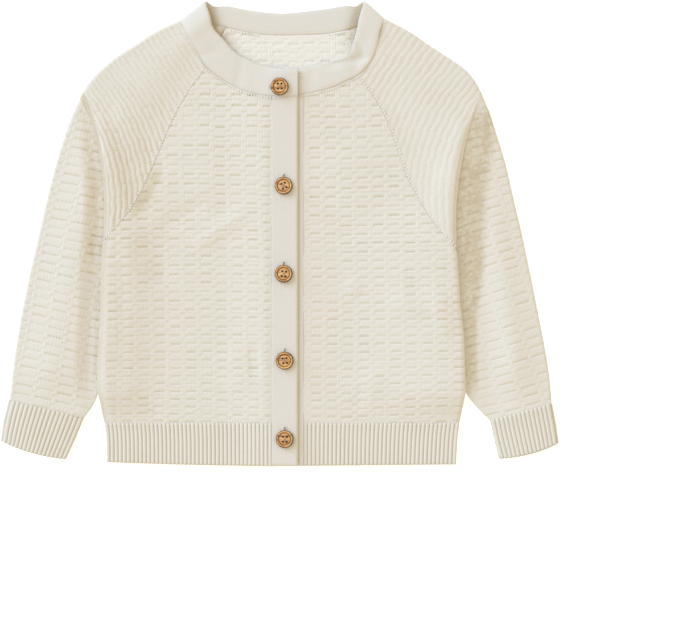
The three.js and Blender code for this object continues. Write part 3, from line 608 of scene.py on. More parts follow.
def hollow_shade(x, y, shades):
    """How much the shaded hollows darken a point, from rows of x, y, radius and depth."""
    return sum(
        depth * bump_at(np.hypot(x - sx, y - sy), radius) for sx, sy, radius, depth in shades
    )


def body_knit_map(x, y):
    """Counts of knit columns and rows over the fronts; the rows close up a little to the hem."""
    sway = 1.2 * np.sin(x / 37 + 0.4) + 0.9 * np.sin(y / 29 + x / 55)
    lean = 0.8 * np.sin(y / 46) + 0.5 * np.sin(y / 17 + x / 30)
    close = BODY_KNIT["row"] + ROW_CLOSING * (y + 20)
    return (x + lean) / BODY_KNIT["column"], -(y + sway) / close


block_knit = knit_material("block_knit", (CREAM_DEEP, CREAM_HOLLOW, CREAM_CROWN), *BLOCK_STITCH)


def front_cloth(name, sign, band_edge):
    raglan_stop, placket_stop = NECK_STOPS[sign]
    band_x = band_edge - sign * BAND_TUCK
    across = np.linspace(0, 1, even_count(FRONT_WIDTH, KNIT_STEP) + 1)
    neck = centripetal(NECK_SEAMS[sign], mix(raglan_stop, placket_stop, across)) + [0, NECK_TUCK]
    x_column, y_column = (1, 2) if sign < 0 else (3, 4)
    first_y, last_y = RAGLANS[0][y_column], RAGLANS[-1][y_column]
    rows = [neck]
    for place in RAGLANS[1:]:
        edge = np.array([place[x_column], place[y_column]])
        end = np.array([band_x, mix(neck[-1, 1], last_y, (first_y - edge[1]) / (first_y - last_y))])
        row = mix(edge, end, across[:, None])
        row[:, 1] -= place[5] * 4 * across * (1 - across)
        rows.append(row)
    for y in BODY_ROWS:
        if y < last_y - 5:
            x = mix(side_edge(sign, y), band_x, across)
            rows.append(np.stack([x, np.full(len(across), y)], -1))
    plan = resample_rows(rows, KNIT_STEP)
    plan[-1, :, 1] += SEAM_GAP / 2
    x, y = plan[..., 0], plan[..., 1]
    under = front_under(x, y)
    inside = np.maximum(sign * (side_edge(sign, y) - x), 0)
    below = smooth(last_y + 4, last_y - 4, y)
    columns, counts = body_knit_map(x, y)
    knit = np.stack([columns, counts], -1)
    crown = block_crown(columns, counts)
    fade = edge_fade(*x.shape, KNIT_STEP, KNIT_FADE, "tbl")
    sunk = EDGE_SINK * (1 - edge_fade(*x.shape, KNIT_STEP, KNIT_FADE, "bl"))
    near_band = smooth(*BAND_CALM, np.abs(x - band_x))
    near_side = mix(1, smooth(*SIDE_CALM[sign], inside), below)
    crown = mix(CALM_CROWN, crown, near_band * near_side)
    level = BAND_STEP_DOWN[sign] * (1 - smooth(0, 5, np.abs(x - band_x)))
    over_round, under_round = FRONT_SIDE_ROUND
    top = under + WALL - side_round(inside, over_round, FRONT_ROUND[sign]) * below - level
    outer = np.stack([x, y, top - (1 - crown) * BODY_KNIT["relief"] * fade - sunk], -1)
    inner = np.stack([x, y, under - side_round(inside, under_round) * below], -1)
    # Painted shade: darker grooves and fold hollows, the shaded hollows by the raglan and the side,
    # and the side edges.
    tone = mix(GROOVE_TONE, 1, crown) + FOLD_SHADE * np.minimum(fold_height(x, y), 0)
    tone = tone - hollow_shade(x, y, FRONT_SHADES)
    tone = tone - EDGE_SHADE[sign] * (1 - smooth(0, 5, inside)) * below
    inner = inner[::INSIDE_STEP, ::INSIDE_STEP]
    return cloth_shell(name, outer, inner, knit, np.clip(tone, 0, 1), block_knit)


front_right = front_cloth("front_right_cloth", -1, PLACKET_LEFT_EDGE)
front_left = front_cloth("front_left_cloth", 1, BUTTON_BAND_RIGHT_EDGE)
for piece, node, size, area in (
    (front_right, "front_right", (0.122, 0.25), 0.0248),
    (front_left, "front_left", (0.113, 0.244), 0.0221),
):
    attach(piece, "root")
    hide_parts(node)


# The sleeves: tubes of block knit, pressed flat and turned down beside the body, so each has
# a deep tuck from its outer edge to the underarm. The seam to the body is the raglan.
SLEEVE_KNIT = {"column": 14.5, "row": 6.3, "relief": 0.52, "wide": 0.8}
UPPER_ROW = {-1: 3.8, 1: 4.7}
RIDGE_DEPTH = {-1: (0.9, 0.6), 1: (0.5, 0.6)}
# the knit is calmed near the tuck's roll; its tone there is lowered most on the sleeve at the left
# of the view, a painted shade that dulls the roll's highlight
ROLL_CALM = {-1: (5, 14), 1: (3, 11)}
ROLL_CROWN = {-1: 0.74, 1: 0.88}
SLEEVE_WIDTH = 106
SLEEVE_STEP = 0.82
SLEEVE_BACK_WIDTH = 100
SLEEVE_BACK_STEP = 1.7
SLEEVE_EDGE_SHARE = 0.035
SLEEVE_KNIT_MIDDLE = (70, 95)
UPPER_TILT = 30
UPPER_TILT_CHANGE = 0.22
UPPER_TILT_LIMITS = (6, 34)
LOWER_TILT = {-1: 13, 1: 16}
OUTER_EDGE = [
    (150, -69.3, 73.6), (142, -85.8, 90), (135, -97, 100.5), (124.6, -113.8, 116.6),
    (114, -126.4, 131.3), (103.6, -135.5, 139), (93, -141.1, 143.9), (82.6, -146, 148.1),
    (72, -149.8, 151.4),
    (51, -156.5, 157.9), (30, -162.1, 162.8), (9, -167, 167.7), (-12, -171.9, 172.6),
    (-33, -176.6, 176.8), (-54, -181, 181), (-75, -184.5, 185), (-96, -187.5, 188.7),
    (-118, -190, 190.9),
]
# upper sleeve: y at the outer edge, place on the raglan, bow towards the neck, rise
UPPER_SLEEVE = [
    (142, 0.14, 0, 0), (134, 0.27, 0, 0.2), (125, 0.42, 0, 0.5), (116, 0.56, 0.5, 1),
    (109, 0.7, 2, 2), (103.6, 0.84, 4.5, 3.2), (99.5, 1, 7, 4.4),
]
# lower sleeve: y at the outer edge, left inner x, y, right inner x, y, bow
LOWER_SLEEVE = [
    (84.7, -121.0, -9.5, 122.6, -14.5, 6), (68.6, -121.8, -17.5, 123.4, -20.5, 4.5),
    (48.3, -119, -27, 120, -33, 3), (23.8, -116.8, -38, 118, -46, 2),
    (-1.4, -116.8, -54, 119.6, -62, 1), (-32.9, -118.6, -77, 122.6, -80, 0),
    (-60.9, -122.2, -96, 126.4, -97.5, 0),
    (-85.4, -127.4, -112, 130.8, -112, 0), (-102.3, -131.3, -121, 139.5, -123.5, 0),
]
# cuffs: outer and inner corners at the seam, halfway and at the edge, left then right
CUFFS = {
    -1: [
        ((-190, -117.6), (-137.4, -129.8)), ((-193.4, -131), (-143.6, -144.2)),
        ((-195.65, -145.4), (-150, -158.3)),
    ],
    1: [
        ((191, -120.2), (147.8, -132)), ((193.6, -133), (151, -146)),
        ((195.65, -147), (154.2, -158)),
    ],
}
VALLEY = {-1: (5.0, 17.0), 1: (14.0, 38.0)}
VALLEY_START = (98.0, 78.0)
# The painted shadow along the sleeve's valley: where it ends, how it narrows, its reach from the
# body's edge, its darkness and its mottle.
VALLEY_END = {-1: (-120.0, -96.0), 1: (-118.0, -98.0)}
VALLEY_NARROW = {-1: 0.3, 1: 0.4}
VALLEY_SHADE = {-1: (-1.0, 2.0, 7.0, 18.0), 1: (0.0, 4.5, 17.0, 28.0)}
VALLEY_SHADE_TONE = {-1: 0.4, 1: 0.7}
VALLEY_SHADE_MOTTLE = 0.34
UPPER_PLUMP = 0.9
UPPER_ARCH = 0.35
SLEEVE_PLUMP = {-1: 2.9, 1: 3.3}
SLEEVE_RISE = 0.5
SLEEVE_RELIEF = {-1: (0.9, 1.1), 1: (0.65, 0.75)}
MIN_HOLLOW = 0.3
MAX_HOLLOW = 2.6
TUCK_TUCKED = 3.5
TUCK_ROLL = 1.5
ROLL_WIDTH = 8.0
ROLL_DROP = 2.0
TUCK_Y = 99.5
ROLL_TURNS = np.linspace(0, 180, 8)[1:]
FOLD_TURNS = (65, 35, 0, -35, -65)
FOLD_COLUMNS = len(FOLD_TURNS)


def raglan_point(sign, share):
    x_column, y_column = (1, 2) if sign < 0 else (3, 4)
    return np.array([read_table(RAGLANS, 0, share, column) for column in (x_column, y_column)])


def outer_point(sign, y):
    return np.array([read_table(OUTER_EDGE, 0, y, 1 if sign < 0 else 2), y])


def section_line(start, end, bow, sign, shares):
    """A bowed line from the outer edge to the inner end, seen from above."""
    along = end - start
    across = np.array([along[1], -along[0]]) / np.linalg.norm(along) * sign
    swell = bow * 4 * shares * (1 - shares)
    return mix(start, end, shares[:, None]) + swell[:, None] * across


def folded_tube(plan, top, front):
    """A flattened tube: the front layer's columns, a round fold at column front, the back's."""
    points = np.concatenate([plan, top[..., None]], 2)
    points[:, front:, 2] = 0
    radius = top[:, front, None] / 2
    inward = plan[:, front - 1] - plan[:, front]
    inward = inward / np.linalg.norm(inward, axis=1, keepdims=True)
    turn = np.radians(FOLD_TURNS)[None, :]
    across = radius * (1 - np.cos(turn))
    fold = np.concatenate([
        plan[:, front, None, :] + inward[:, None, :] * across[..., None],
        (radius * (1 + np.sin(turn)))[..., None],
    ], 2)
    return np.concatenate([points[:, :front], fold, points[:, front + 1:]], 1)


def grid_normals(points):
    """Unit normals of a grid of points, from its neighbours."""
    down = np.gradient(points, axis=0)
    across = np.gradient(points, axis=1)
    normal = np.cross(down, across)
    return normal / np.maximum(np.linalg.norm(normal, axis=2, keepdims=True), 1e-9)


def ridge_crown(columns, rows):
    """Long soft ridges that waver a little, broken now and then: the block knit seen along it."""
    line = np.floor(rows).astype(int)
    chance = chance_of(line, 3)[..., 0]
    place = 1.6 * columns + 3 * chance
    piece = np.floor(place).astype(int)
    each = chance_of(line, piece)
    across = rows - line - 0.5 + 0.08 * np.sin(2 * np.pi * place * 0.6 + 6 * chance)
    groove = 0.5 - 0.5 * np.cos(2 * np.pi * (across + 0.5))
    broken = bump_at(place - piece - 0.5, 0.1) * 0.45 * each[..., 1]
    beads = 0.10 * np.sin(2 * np.pi * columns * 9 + 6 * chance)
    depth = 0.75 + 0.35 * each[..., 0]
    return np.clip(1 - depth * (1 - groove) ** 1.6 - broken - beads * groove, 0, 1)


def sleeve_cloth(name, sign):
    front_shares = np.linspace(1, SLEEVE_EDGE_SHARE, even_count(SLEEVE_WIDTH, SLEEVE_STEP))
    back_count = even_count(SLEEVE_BACK_WIDTH, SLEEVE_BACK_STEP) - FOLD_COLUMNS + 1
    back_shares = np.concatenate([[0], np.linspace(SLEEVE_EDGE_SHARE, 1, back_count)])
    shares = np.concatenate([front_shares, back_shares])
    raglan_stop = NECK_STOPS[sign][0]
    neck_shift = np.array([-sign * NECK_TUCK * 1.8, NECK_TUCK * 0.6])
    neck_front = centripetal(NECK_SEAMS[sign], raglan_stop * front_shares) + neck_shift
    fold_end = centripetal(NECK_SEAMS[sign], np.array([0.0]))[0] + neck_shift
    neck_back_end = np.array(BACK_NECK_ENDS[sign]) + [sign * SEAM_GAP / 2, 4 * NECK_TUCK]
    neck_back = section_line(fold_end, neck_back_end, 0, sign, back_shares)
    upper = [np.concatenate([neck_front, neck_back])]
    rises = [0.0]
    for outer_y, seam, bow, rise in UPPER_SLEEVE:
        start = outer_point(sign, outer_y)
        back_end = back_seam(sign, seam) + [sign * SEAM_GAP / 2, 0]
        upper.append(np.concatenate([
            section_line(start, raglan_point(sign, seam), bow, sign, front_shares),
            section_line(start, back_end, bow * 0.3, sign, back_shares),
        ]))
        rises.append(rise)
    marked = [
        np.concatenate([row, np.full((len(row), 1), rise)], 1) for row, rise in zip(upper, rises)
    ]
    upper = resample_rows(marked, SLEEVE_STEP)
    tuck = upper[-1, :, :2]
    front = len(front_shares)

    def upper_top(rows):
        x, y, rise = rows[..., 0], rows[..., 1], rows[..., 2]
        end = front_under(x[:, :1] - sign * 1.5, y[:, :1]) + WALL
        plump = UPPER_PLUMP * np.sin(np.pi * np.minimum(1, shares * 1.15)) ** 2
        off_tuck = np.linalg.norm(rows[..., :2] - rows[-1:, :, :2], axis=2)
        to_roll = np.clip(1 - off_tuck / ROLL_WIDTH, 0, 1)
        plump = plump - ROLL_DROP * (1 - np.sqrt(1 - to_roll**2)) * smooth(0.1, 0.4, shares)
        soft = fold_height(x, y) * smooth(0, 0.3, shares) * 0.8 * (1 - smooth(0.8, 1, shares))
        arch = rise * UPPER_ARCH * np.sin(np.pi * shares)
        return mix(2 * WALL + REST_GAP, end, shares**1.3) + plump + soft + arch

    # how far outside the tuck line, or further down outside the body's edge, a point lies
    tuck_front = tuck[:front]
    tuck_low = tuck_front[0, 1]

    def outside(x, y):
        by_tuck = np.interp(y, tuck_front[:, 1], tuck_front[:, 0])
        edge = np.where(y > tuck_low, by_tuck, side_edge(sign, y))
        return (x - edge) * sign

    def lower_top(x, y, inner_shares):
        away = smooth(*VALLEY[sign], outside(x, y))
        in_sleeve = smooth(0, SLEEVE_RISE, inner_shares)
        full = SLEEVE_PLUMP[sign] * away * mix(0.35, 1, smooth(-118, -92, y))
        rest = 2 * WALL + LAYER_GAP + 0.3 * (1 - inner_shares)
        return rest + in_sleeve * mix(1.2, full, smooth(*VALLEY_START, y))

    tops = [upper_top(upper)]
    plans = [upper[..., :2]]
    high = tops[0][-1]
    turns = np.radians(ROLL_TURNS)
    count = len(turns)
    bulge = smooth(0.05, 0.5, shares) * (1 - smooth(0.93, 1.0, shares) * 0.9)

    def tuck_row(step, out):
        """The tuck line again, steps further down the outer edge and moved out from the body."""
        slide = outer_point(sign, TUCK_Y - 0.5 * step) - outer_point(sign, TUCK_Y)
        row = tuck + slide * (1 - shares)[:, None] ** 2
        row[:, 0] += sign * out * bulge
        return row

    low = np.minimum(lower_top(tuck[:, 0], tuck[:, 1], shares), high)
    roll_plan = [tuck_row(step, TUCK_ROLL * math.sin(turn)) for step, turn in enumerate(turns, 1)]
    roll_top = [mix(high, low + 0.12, (1 - math.cos(turn)) / 2) for turn in turns]
    plans.append(np.array([*roll_plan, tuck_row(count + 1, -TUCK_TUCKED)]))
    tops.append(np.array([*roll_top, low + 0.06]))

    lower = [tuck_row(count + 3, 0.5 - TUCK_TUCKED)]
    for outer_y, *ends, bow in LOWER_SLEEVE:
        end = np.array(ends[:2] if sign < 0 else ends[2:], float)
        lower.append(section_line(outer_point(sign, outer_y), end, bow, sign, shares))
    cuff_start, cuff_end = (np.array(corner) + [0, SEAM_GAP] for corner in CUFFS[sign][0])
    lower.append(section_line(cuff_start, cuff_end, 0, sign, shares))
    lower = resample_rows(lower, SLEEVE_STEP)
    plans.append(lower)
    tops.append(lower_top(lower[..., 0], lower[..., 1], shares))

    plan = np.concatenate(plans)
    top = np.concatenate(tops)
    spare = (len(plan) - 1) % INSIDE_STEP
    drop = len(plans[0]) // 3 + 3 * np.arange(spare)
    outer = folded_tube(np.delete(plan, drop, 0), np.delete(top, drop, 0), front)
    upper_count = len(plans[0]) - spare
    columns_total = outer.shape[1]

    # knit counts: the upper sleeve's courses run down beside the raglan, the lower one's across
    ox, oy = outer[..., 0], outer[..., 1]
    row_index = np.arange(outer.shape[0])[:, None] * np.ones((1, columns_total))
    is_upper = row_index < upper_count + 4
    middle_x, middle_y = SLEEVE_KNIT_MIDDLE
    along, over = sign * (ox - sign * middle_x), oy - middle_y
    tilt = np.radians(np.clip(UPPER_TILT - UPPER_TILT_CHANGE * (middle_y - oy), *UPPER_TILT_LIMITS))
    q_upper = (along * np.cos(tilt) - over * np.sin(tilt)) / UPPER_ROW[sign]
    p_upper = (along * np.sin(tilt) + over * np.cos(tilt)) / SLEEVE_KNIT["column"]
    lower_tilt = math.radians(LOWER_TILT[sign])
    q_lower = (sign * ox * math.sin(lower_tilt) - oy * math.cos(lower_tilt)) / SLEEVE_KNIT["row"]
    p_lower = (sign * ox * math.cos(lower_tilt) + oy * math.sin(lower_tilt)) / SLEEVE_KNIT["column"]
    sway = 0.12 * np.sin(ox / 21 + oy / 33)
    columns = np.where(is_upper, p_upper, p_lower) + sway
    counts = np.where(is_upper, q_upper, q_lower) + sway
    knit = np.stack([columns, counts], -1)
    ridges = mix(1, ridge_crown(columns, counts), mix(*RIDGE_DEPTH[sign], smooth(60, 115, oy)))
    crown = np.where(is_upper, ridges, block_crown(columns, counts, SLEEVE_KNIT["wide"], 0))
    fade = edge_fade(*ox.shape, KNIT_STEP, KNIT_FADE, "tbl")
    roll = (row_index >= upper_count - 2) & (row_index <= upper_count + count + 4)
    # Near the roll: calmer knit, and a tone lowered as painted shade where the roll catches the
    # light.
    near_roll = smooth(*ROLL_CALM[sign], upper_count - row_index)
    near_roll = near_roll + (row_index > upper_count + count)
    crown = mix(ROLL_CROWN[sign], crown, near_roll)
    normal = grid_normals(outer)
    if normal[outer.shape[0] // 4, 20, 2] < 0:
        normal = -normal
    relief = np.where(is_upper, *SLEEVE_RELIEF[sign]) * SLEEVE_KNIT["relief"]
    sunk = EDGE_SINK * (1 - edge_fade(*ox.shape, KNIT_STEP, KNIT_FADE, "bl"))
    depth = (1 - crown) * relief * fade + sunk
    outer = outer - normal * np.where(roll, 0.0, depth)[..., None]
    outer[..., 2] = np.maximum(outer[..., 2], 0)

    # Painted shadow: a mottled dark strip along the valley beside the body's edge, where the sleeve
    # goes under the body and lies in its shade, laid over the painted shade of the grooves.
    shade_from, shade_full, shade_falls, shade_ends = VALLEY_SHADE[sign]
    width = mix(VALLEY_NARROW[sign], 1, smooth(-80, 10, oy)) * mix(1, 0.62, smooth(58, 86, oy))
    beyond = outside(ox, oy)
    in_valley_shade = smooth(shade_from, shade_full, beyond) * smooth(*VALLEY_START, oy)
    in_valley_shade = in_valley_shade * smooth(*VALLEY_END[sign], oy)
    in_valley_shade = in_valley_shade * (1 - smooth(shade_falls, shade_ends, beyond / width))
    in_valley_shade = in_valley_shade * (row_index > upper_count + 5) * mix(0.78, 1.04, smooth(2, 16, beyond))
    speckle = chance_of(np.floor(columns * 6).astype(int), np.floor(counts * 3).astype(int))
    mottle = speckle[..., 1] - 0.5
    tone = mix(GROOVE_TONE, 1, crown) - VALLEY_SHADE_TONE[sign] * in_valley_shade * (0.8 + 0.4 * crown)
    # painted shade on the rows beside the tuck's roll
    by_tuck = smooth(9, 1, upper_count - row_index) * (row_index <= upper_count + count)
    tone = tone - EDGE_SHADE[sign] * by_tuck
    tone = tone + VALLEY_SHADE_MOTTLE * mottle * in_valley_shade
    in_back = np.arange(columns_total) > front
    tone = tone + FOLD_SHADE * np.minimum(fold_height(ox, oy), 0) * is_upper
    tone = tone - NECK_SHADE_TONE * neck_shade(ox, oy) * in_back

    inner = outer.copy()
    front_like = np.arange(columns_total) < front
    inner_top = np.clip(outer[..., 2] - WALL, WALL + MIN_HOLLOW, WALL + MAX_HOLLOW)
    inner[..., 2] = np.where(front_like, inner_top, WALL)
    inner = inner[::INSIDE_STEP, ::INSIDE_STEP]
    return cloth_shell(name, outer, inner, knit, np.clip(tone, 0, 1), block_knit)


sleeve_right = sleeve_cloth("sleeve_right_cloth", -1)
sleeve_left = sleeve_cloth("sleeve_left_cloth", 1)
for piece, node in ((sleeve_right, "sleeve_right"), (sleeve_left, "sleeve_left")):
    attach(piece, "root")
    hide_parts(node)


# The cuffs and the hem: bands of one and one rib in the same cotton, knitted on to the sleeves
# and the body. Their ribs stand as round cords with narrow furrows between them.
CUFF_RIBS = {-1: 16, 1: 14}
RIB_COLUMNS = 6
RIB_PITCH = 2.87
RIB_HEIGHT = 0.6
RIB_LAP = 0.7
RIB_STEP = 1.15
# the rib's cream, with its furrows painted darker and warmer as shade
RIB_CROWN = (0.785, 0.745, 0.635)
RIB_HOLLOW = (0.66, 0.61, 0.50)
RIB_DEEP = (0.58, 0.52, 0.40)
RIB_ROUNDNESS = 0.6
RIB_MIDDLE = 0.55
CUFF_EDGE_SHARE = 0.05
CUFF_HOLLOW = 0.25
CUFF_PLUMP = (1.3, 0.8, 0.8)
CUFF_BOWS = (0, 0, -2.2)
CUFF_LAPS = (RIB_LAP, 0, 0)
HEM_ROWS = 24
HEM_FADE = (1.2, 1.6)
HEM_BACK_RISE = 0.4
HEM_BACK_INSET = 0.2
HEM_BOTTOM = -163.1
HEM_RIGHT_BOTTOM = (-160.4, -163.0)
HEM_LEFT_BOTTOM = (-163.0, -162.0)
HEM_BACK_BOTTOM = -160.2

rib_knit = knit_material("rib_knit", (RIB_DEEP, RIB_HOLLOW, RIB_CROWN), 1, 1, 0.12)


def group_tree(name, inputs):
    """A new Geometry Nodes tree with geometry in and out and the named inputs."""
    tree = bpy.data.node_groups.new(name, "GeometryNodeTree")
    tree.interface.new_socket("Geometry", in_out="INPUT", socket_type="NodeSocketGeometry")
    for label, kind, value in inputs:
        socket = tree.interface.new_socket(label, in_out="INPUT", socket_type=kind)
        if value is not None:
            socket.default_value = value
    tree.interface.new_socket("Geometry", in_out="OUTPUT", socket_type="NodeSocketGeometry")
    return tree, tree.nodes.new("NodeGroupInput"), tree.nodes.new("NodeGroupOutput")


def made_plain(piece):
    """The piece's result becomes its plain mesh, with no modifier left."""
    graph = bpy.context.evaluated_depsgraph_get()
    plain = bpy.data.meshes.new_from_object(piece.evaluated_get(graph), depsgraph=graph)
    piece.modifiers.clear()
    piece.data = plain
    plain.name = piece.name
    return plain


def shaped(piece, tree, **values):
    """The piece with the tree's result as its plain mesh and no modifier left."""
    modifier = piece.modifiers.new(tree.name, "NODES")
    modifier.node_group = tree
    for item in tree.interface.items_tree:
        if item.in_out == "INPUT" and item.name in values:
            modifier[item.identifier] = values[item.name]
    piece.update_tag()
    made_plain(piece)
    return piece


def clothe(tree, made, material, result):
    """The end of a tree: the made geometry gets its material and goes out."""
    clothed = place_node(
        tree, "GeometryNodeSetMaterial", {"Geometry": made.outputs[0], "Material": material},
    )
    tree.links.new(clothed.outputs[0], result.inputs["Geometry"])


def rib_tree():
    """Raises ribs along the knit map's first count, where the crown attribute is 1."""
    tree, given, result = group_tree("raise_ribs", [
        ("Rib Height", "NodeSocketFloat", 0.001), ("Roundness", "NodeSocketFloat", 0.6),
        ("Cloth", "NodeSocketMaterial", None),
    ])
    knit_map = place_node(
        tree, "GeometryNodeInputNamedAttribute", {"Name": "knit"}, data_type="FLOAT_VECTOR",
    )
    counts = place_node(tree, "ShaderNodeSeparateXYZ", {0: knit_map.outputs[0]})
    wave = math_node(tree, "SINE", math_node(tree, "MULTIPLY", counts.outputs[0], math.pi))
    profile = math_node(tree, "ABSOLUTE", wave)
    profile = math_node(tree, "POWER", profile, given.outputs["Roundness"])
    shown = place_node(
        tree, "GeometryNodeInputNamedAttribute", {"Name": "crown"}, data_type="FLOAT",
    )
    rise = math_node(tree, "SUBTRACT", profile, RIB_MIDDLE)
    rise = math_node(tree, "MULTIPLY", rise, given.outputs["Rib Height"])
    rise = math_node(tree, "MULTIPLY", rise, shown.outputs[0])
    normal = tree.nodes.new("GeometryNodeInputNormal")
    offset = place_node(
        tree, "ShaderNodeVectorMath", {0: normal.outputs[0], "Scale": rise}, operation="SCALE",
    )
    moved = place_node(tree, "GeometryNodeSetPosition", {
        "Geometry": given.outputs["Geometry"], "Offset": offset.outputs[0],
    })
    # The profile becomes the rib's tone, so its furrows are painted darker, as shade.
    marked = place_node(
        tree, "GeometryNodeStoreNamedAttribute",
        {"Geometry": moved.outputs[0], "Name": "crown", "Value": profile}, data_type="FLOAT",
    )
    real = place_node(tree, "GeometryNodeRealizeInstances", {0: marked.outputs[0]})
    clothe(tree, real, given.outputs["Cloth"], result)
    return tree


raise_ribs = rib_tree()


def rib_cloth(name, outer, inner, knit, show):
    """A closed shell with ribs raised in the outer points that show, over a plain inside."""
    cloth = cloth_shell(name, outer, inner[::INSIDE_STEP, ::INSIDE_STEP], knit, show, rib_knit)
    crown = cloth.data.attributes["crown"].data
    for index in range(show.size, len(crown)):
        crown[index].value = 0
    sizes = {"Rib Height": RIB_HEIGHT * MM, "Roundness": RIB_ROUNDNESS, "Cloth": rib_knit}
    return shaped(cloth, raise_ribs, **sizes)


def cuff_cloth(name, sign):
    count = CUFF_RIBS[sign] * RIB_COLUMNS
    front_shares = np.linspace(1, CUFF_EDGE_SHARE, count)
    back_shares = np.linspace(CUFF_EDGE_SHARE, 1, count - FOLD_COLUMNS + 1)
    shares = np.concatenate([front_shares, [0], back_shares])
    rows = []
    for (start, end), lap, bow, plump in zip(CUFFS[sign], CUFF_LAPS, CUFF_BOWS, CUFF_PLUMP):
        line = section_line(np.add(start, [0, lap]), np.add(end, [0, lap]), bow, sign, shares)
        rows.append(np.concatenate([line, np.full((len(shares), 1), plump)], 1))
    dense = resample_rows(rows, RIB_STEP)
    top = 2 * WALL + LAYER_GAP + dense[..., 2] * np.sin(np.pi * shares)
    outer = folded_tube(dense[..., :2], top, count)
    rows_count, columns_count = outer.shape[:2]
    ribs = np.arange(columns_count)[None] / RIB_COLUMNS * np.ones((rows_count, 1))
    knit = np.stack([ribs, np.arange(rows_count)[:, None] * np.ones((1, columns_count))], -1)
    inner = outer.copy()
    is_front = np.arange(columns_count) < count
    inner_top = np.maximum(outer[..., 2] - WALL, WALL + CUFF_HOLLOW)
    inner[..., 2] = np.where(is_front, inner_top, WALL)
    show = np.ones(outer.shape[:2])
    show[:, count + FOLD_COLUMNS:] = 0
    return rib_cloth(name, outer, inner, knit, show)


cuff_right = cuff_cloth("cuff_right_cloth", -1)
cuff_left = cuff_cloth("cuff_left_cloth", 1)


def hem_cloth(name, start_x, end_x, bottom, under, top_side=True):
    ribs = int(round((end_x(HEM_BOTTOM) - start_x(HEM_BOTTOM)) / RIB_PITCH))
    shares = np.linspace(0, 1, ribs * RIB_COLUMNS + 1)
    downs = np.linspace(0, 1, HEM_ROWS + 1)
    down = downs[:, None] * np.ones((1, len(shares)))
    y = mix(HEM_TOP + (RIB_LAP - SEAM_GAP) * top_side, bottom(shares)[None, :], down)
    x = mix(start_x(y), end_x(y), shares[None, :])
    low = under(x, y)
    fade = edge_fade(*x.shape, *HEM_FADE, "b")
    if top_side:
        outer = np.stack([x, y, low + WALL - EDGE_THIN * (1 - fade)], -1)
        inner = np.stack([x, y, low], -1)
    else:
        outer = np.stack([x, y, low + EDGE_THIN * (1 - fade) + HEM_BACK_RISE], -1)
        inner = np.stack([x, y, low + WALL], -1)
    knit = np.stack([shares[None, :] * ribs * np.ones_like(down), down * HEM_ROWS], -1)
    return rib_cloth(name, outer, inner, knit, np.ones(x.shape))


hem_right = hem_cloth(
    "hem_rib_front_right_cloth",
    lambda y: side_edge(-1, y), lambda y: PLACKET_LEFT_EDGE + BAND_TUCK + 0 * y,
    lambda share: mix(*HEM_RIGHT_BOTTOM, np.sin(share * np.pi / 2)), front_under,
)
hem_left = hem_cloth(
    "hem_rib_front_left_cloth",
    lambda y: BUTTON_BAND_RIGHT_EDGE - BAND_TUCK + 0 * y, lambda y: side_edge(1, y),
    lambda share: mix(*HEM_LEFT_BOTTOM, share), front_under,
)
hem_back = hem_cloth(
    "hem_rib_back_cloth",
    lambda y: side_edge(-1, y) + HEM_BACK_INSET, lambda y: side_edge(1, y) - HEM_BACK_INSET,
    lambda share: np.full(share.shape, HEM_BACK_BOTTOM), lambda x, y: 0 * x, top_side=False,
)
for piece, node, size, held, under in (
    (cuff_right, "cuff_right", (0.102, 0.0285), "folded", table_top),
    (cuff_left, "cuff_left", (0.088, 0.0275), "folded", table_top),
    (hem_right, "hem_rib_front_right", (0.1165, 0.0285), "laid", hem_back),
    (hem_left, "hem_rib_front_left", (0.108, 0.0285), "laid", hem_back),
    (hem_back, "hem_rib_back", (0.247, 0.0265), "laid", table_top),
):
    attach(piece, "root")
    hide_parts(node)


# The neckband: a doubled band of fine plain knit round the neck, linked to the fronts, sleeves and
# back. Its top end crosses the front over its under end, and both are closed by the first button.
BAND_WALL = 2.2
# the band's cream, with darker, warmer colours painted as its shade
BAND_CROWN = (0.765, 0.730, 0.645)
BAND_HOLLOW = (0.70, 0.66, 0.56)
BAND_DEEP = (0.58, 0.50, 0.36)
BAND_STITCH = 1.5
BAND_STEPS = 16
BAND_ACROSS = 27
BAND_EDGE_POWERS = (5, 9)
# the first buttonhole: start x, end x, y; then its half width, depth and run-out
BAND_SLIT = (-6.4, 3.4, 102.0)
BAND_SLIT_HALF = 0.55
BAND_SLIT_DEPTH = 1.8
BAND_SLIT_END = 0.8
# heights over which the creases and the slit are pressed in: the front and its top end
CREASE_ABOVE = 2.6
SLIT_ABOVE = 6.5
CREASE_RISE = (-0.4, 0.2)
CREASE_FALL = (0.8, 1.4)
BAND_EDGE_SHARE = 0.12
# painted shade in the band's tone: towards both its edges, in the corners behind its front, and in
# the buttonhole slits
BAND_EDGE_SHADE = 0.35
BAND_NECK_TONE = 1.15
SLIT_SHADE = 1.2
# turns, in radians, below which the band faces up in front and above which it lies behind
BAND_FRONT_TURN = 1.2
BAND_BACK_TURN = 1.8
# soft creases of the band: from x, y to x, y, half width, depth
BAND_CREASES = [
    (36, 118, 58, 122.5, 3.2, 1.1), (53, 113, 60, 136, 4, 0.5), (-60, 122, -44, 128, 4, 0.4),
    (-30, 101, -26, 124, 3.5, 0.35), (20, 97, 24, 118, 4, 0.3), (61, 119, 52, 142, 2.2, 0.35),
]
# shaded hollows of the creases: x, y, radius, depth
BAND_SHADES = [(47, 120, 8, 0.5), (58, 128, 7, 0.3), (-52, 124, 7, 0.15)]
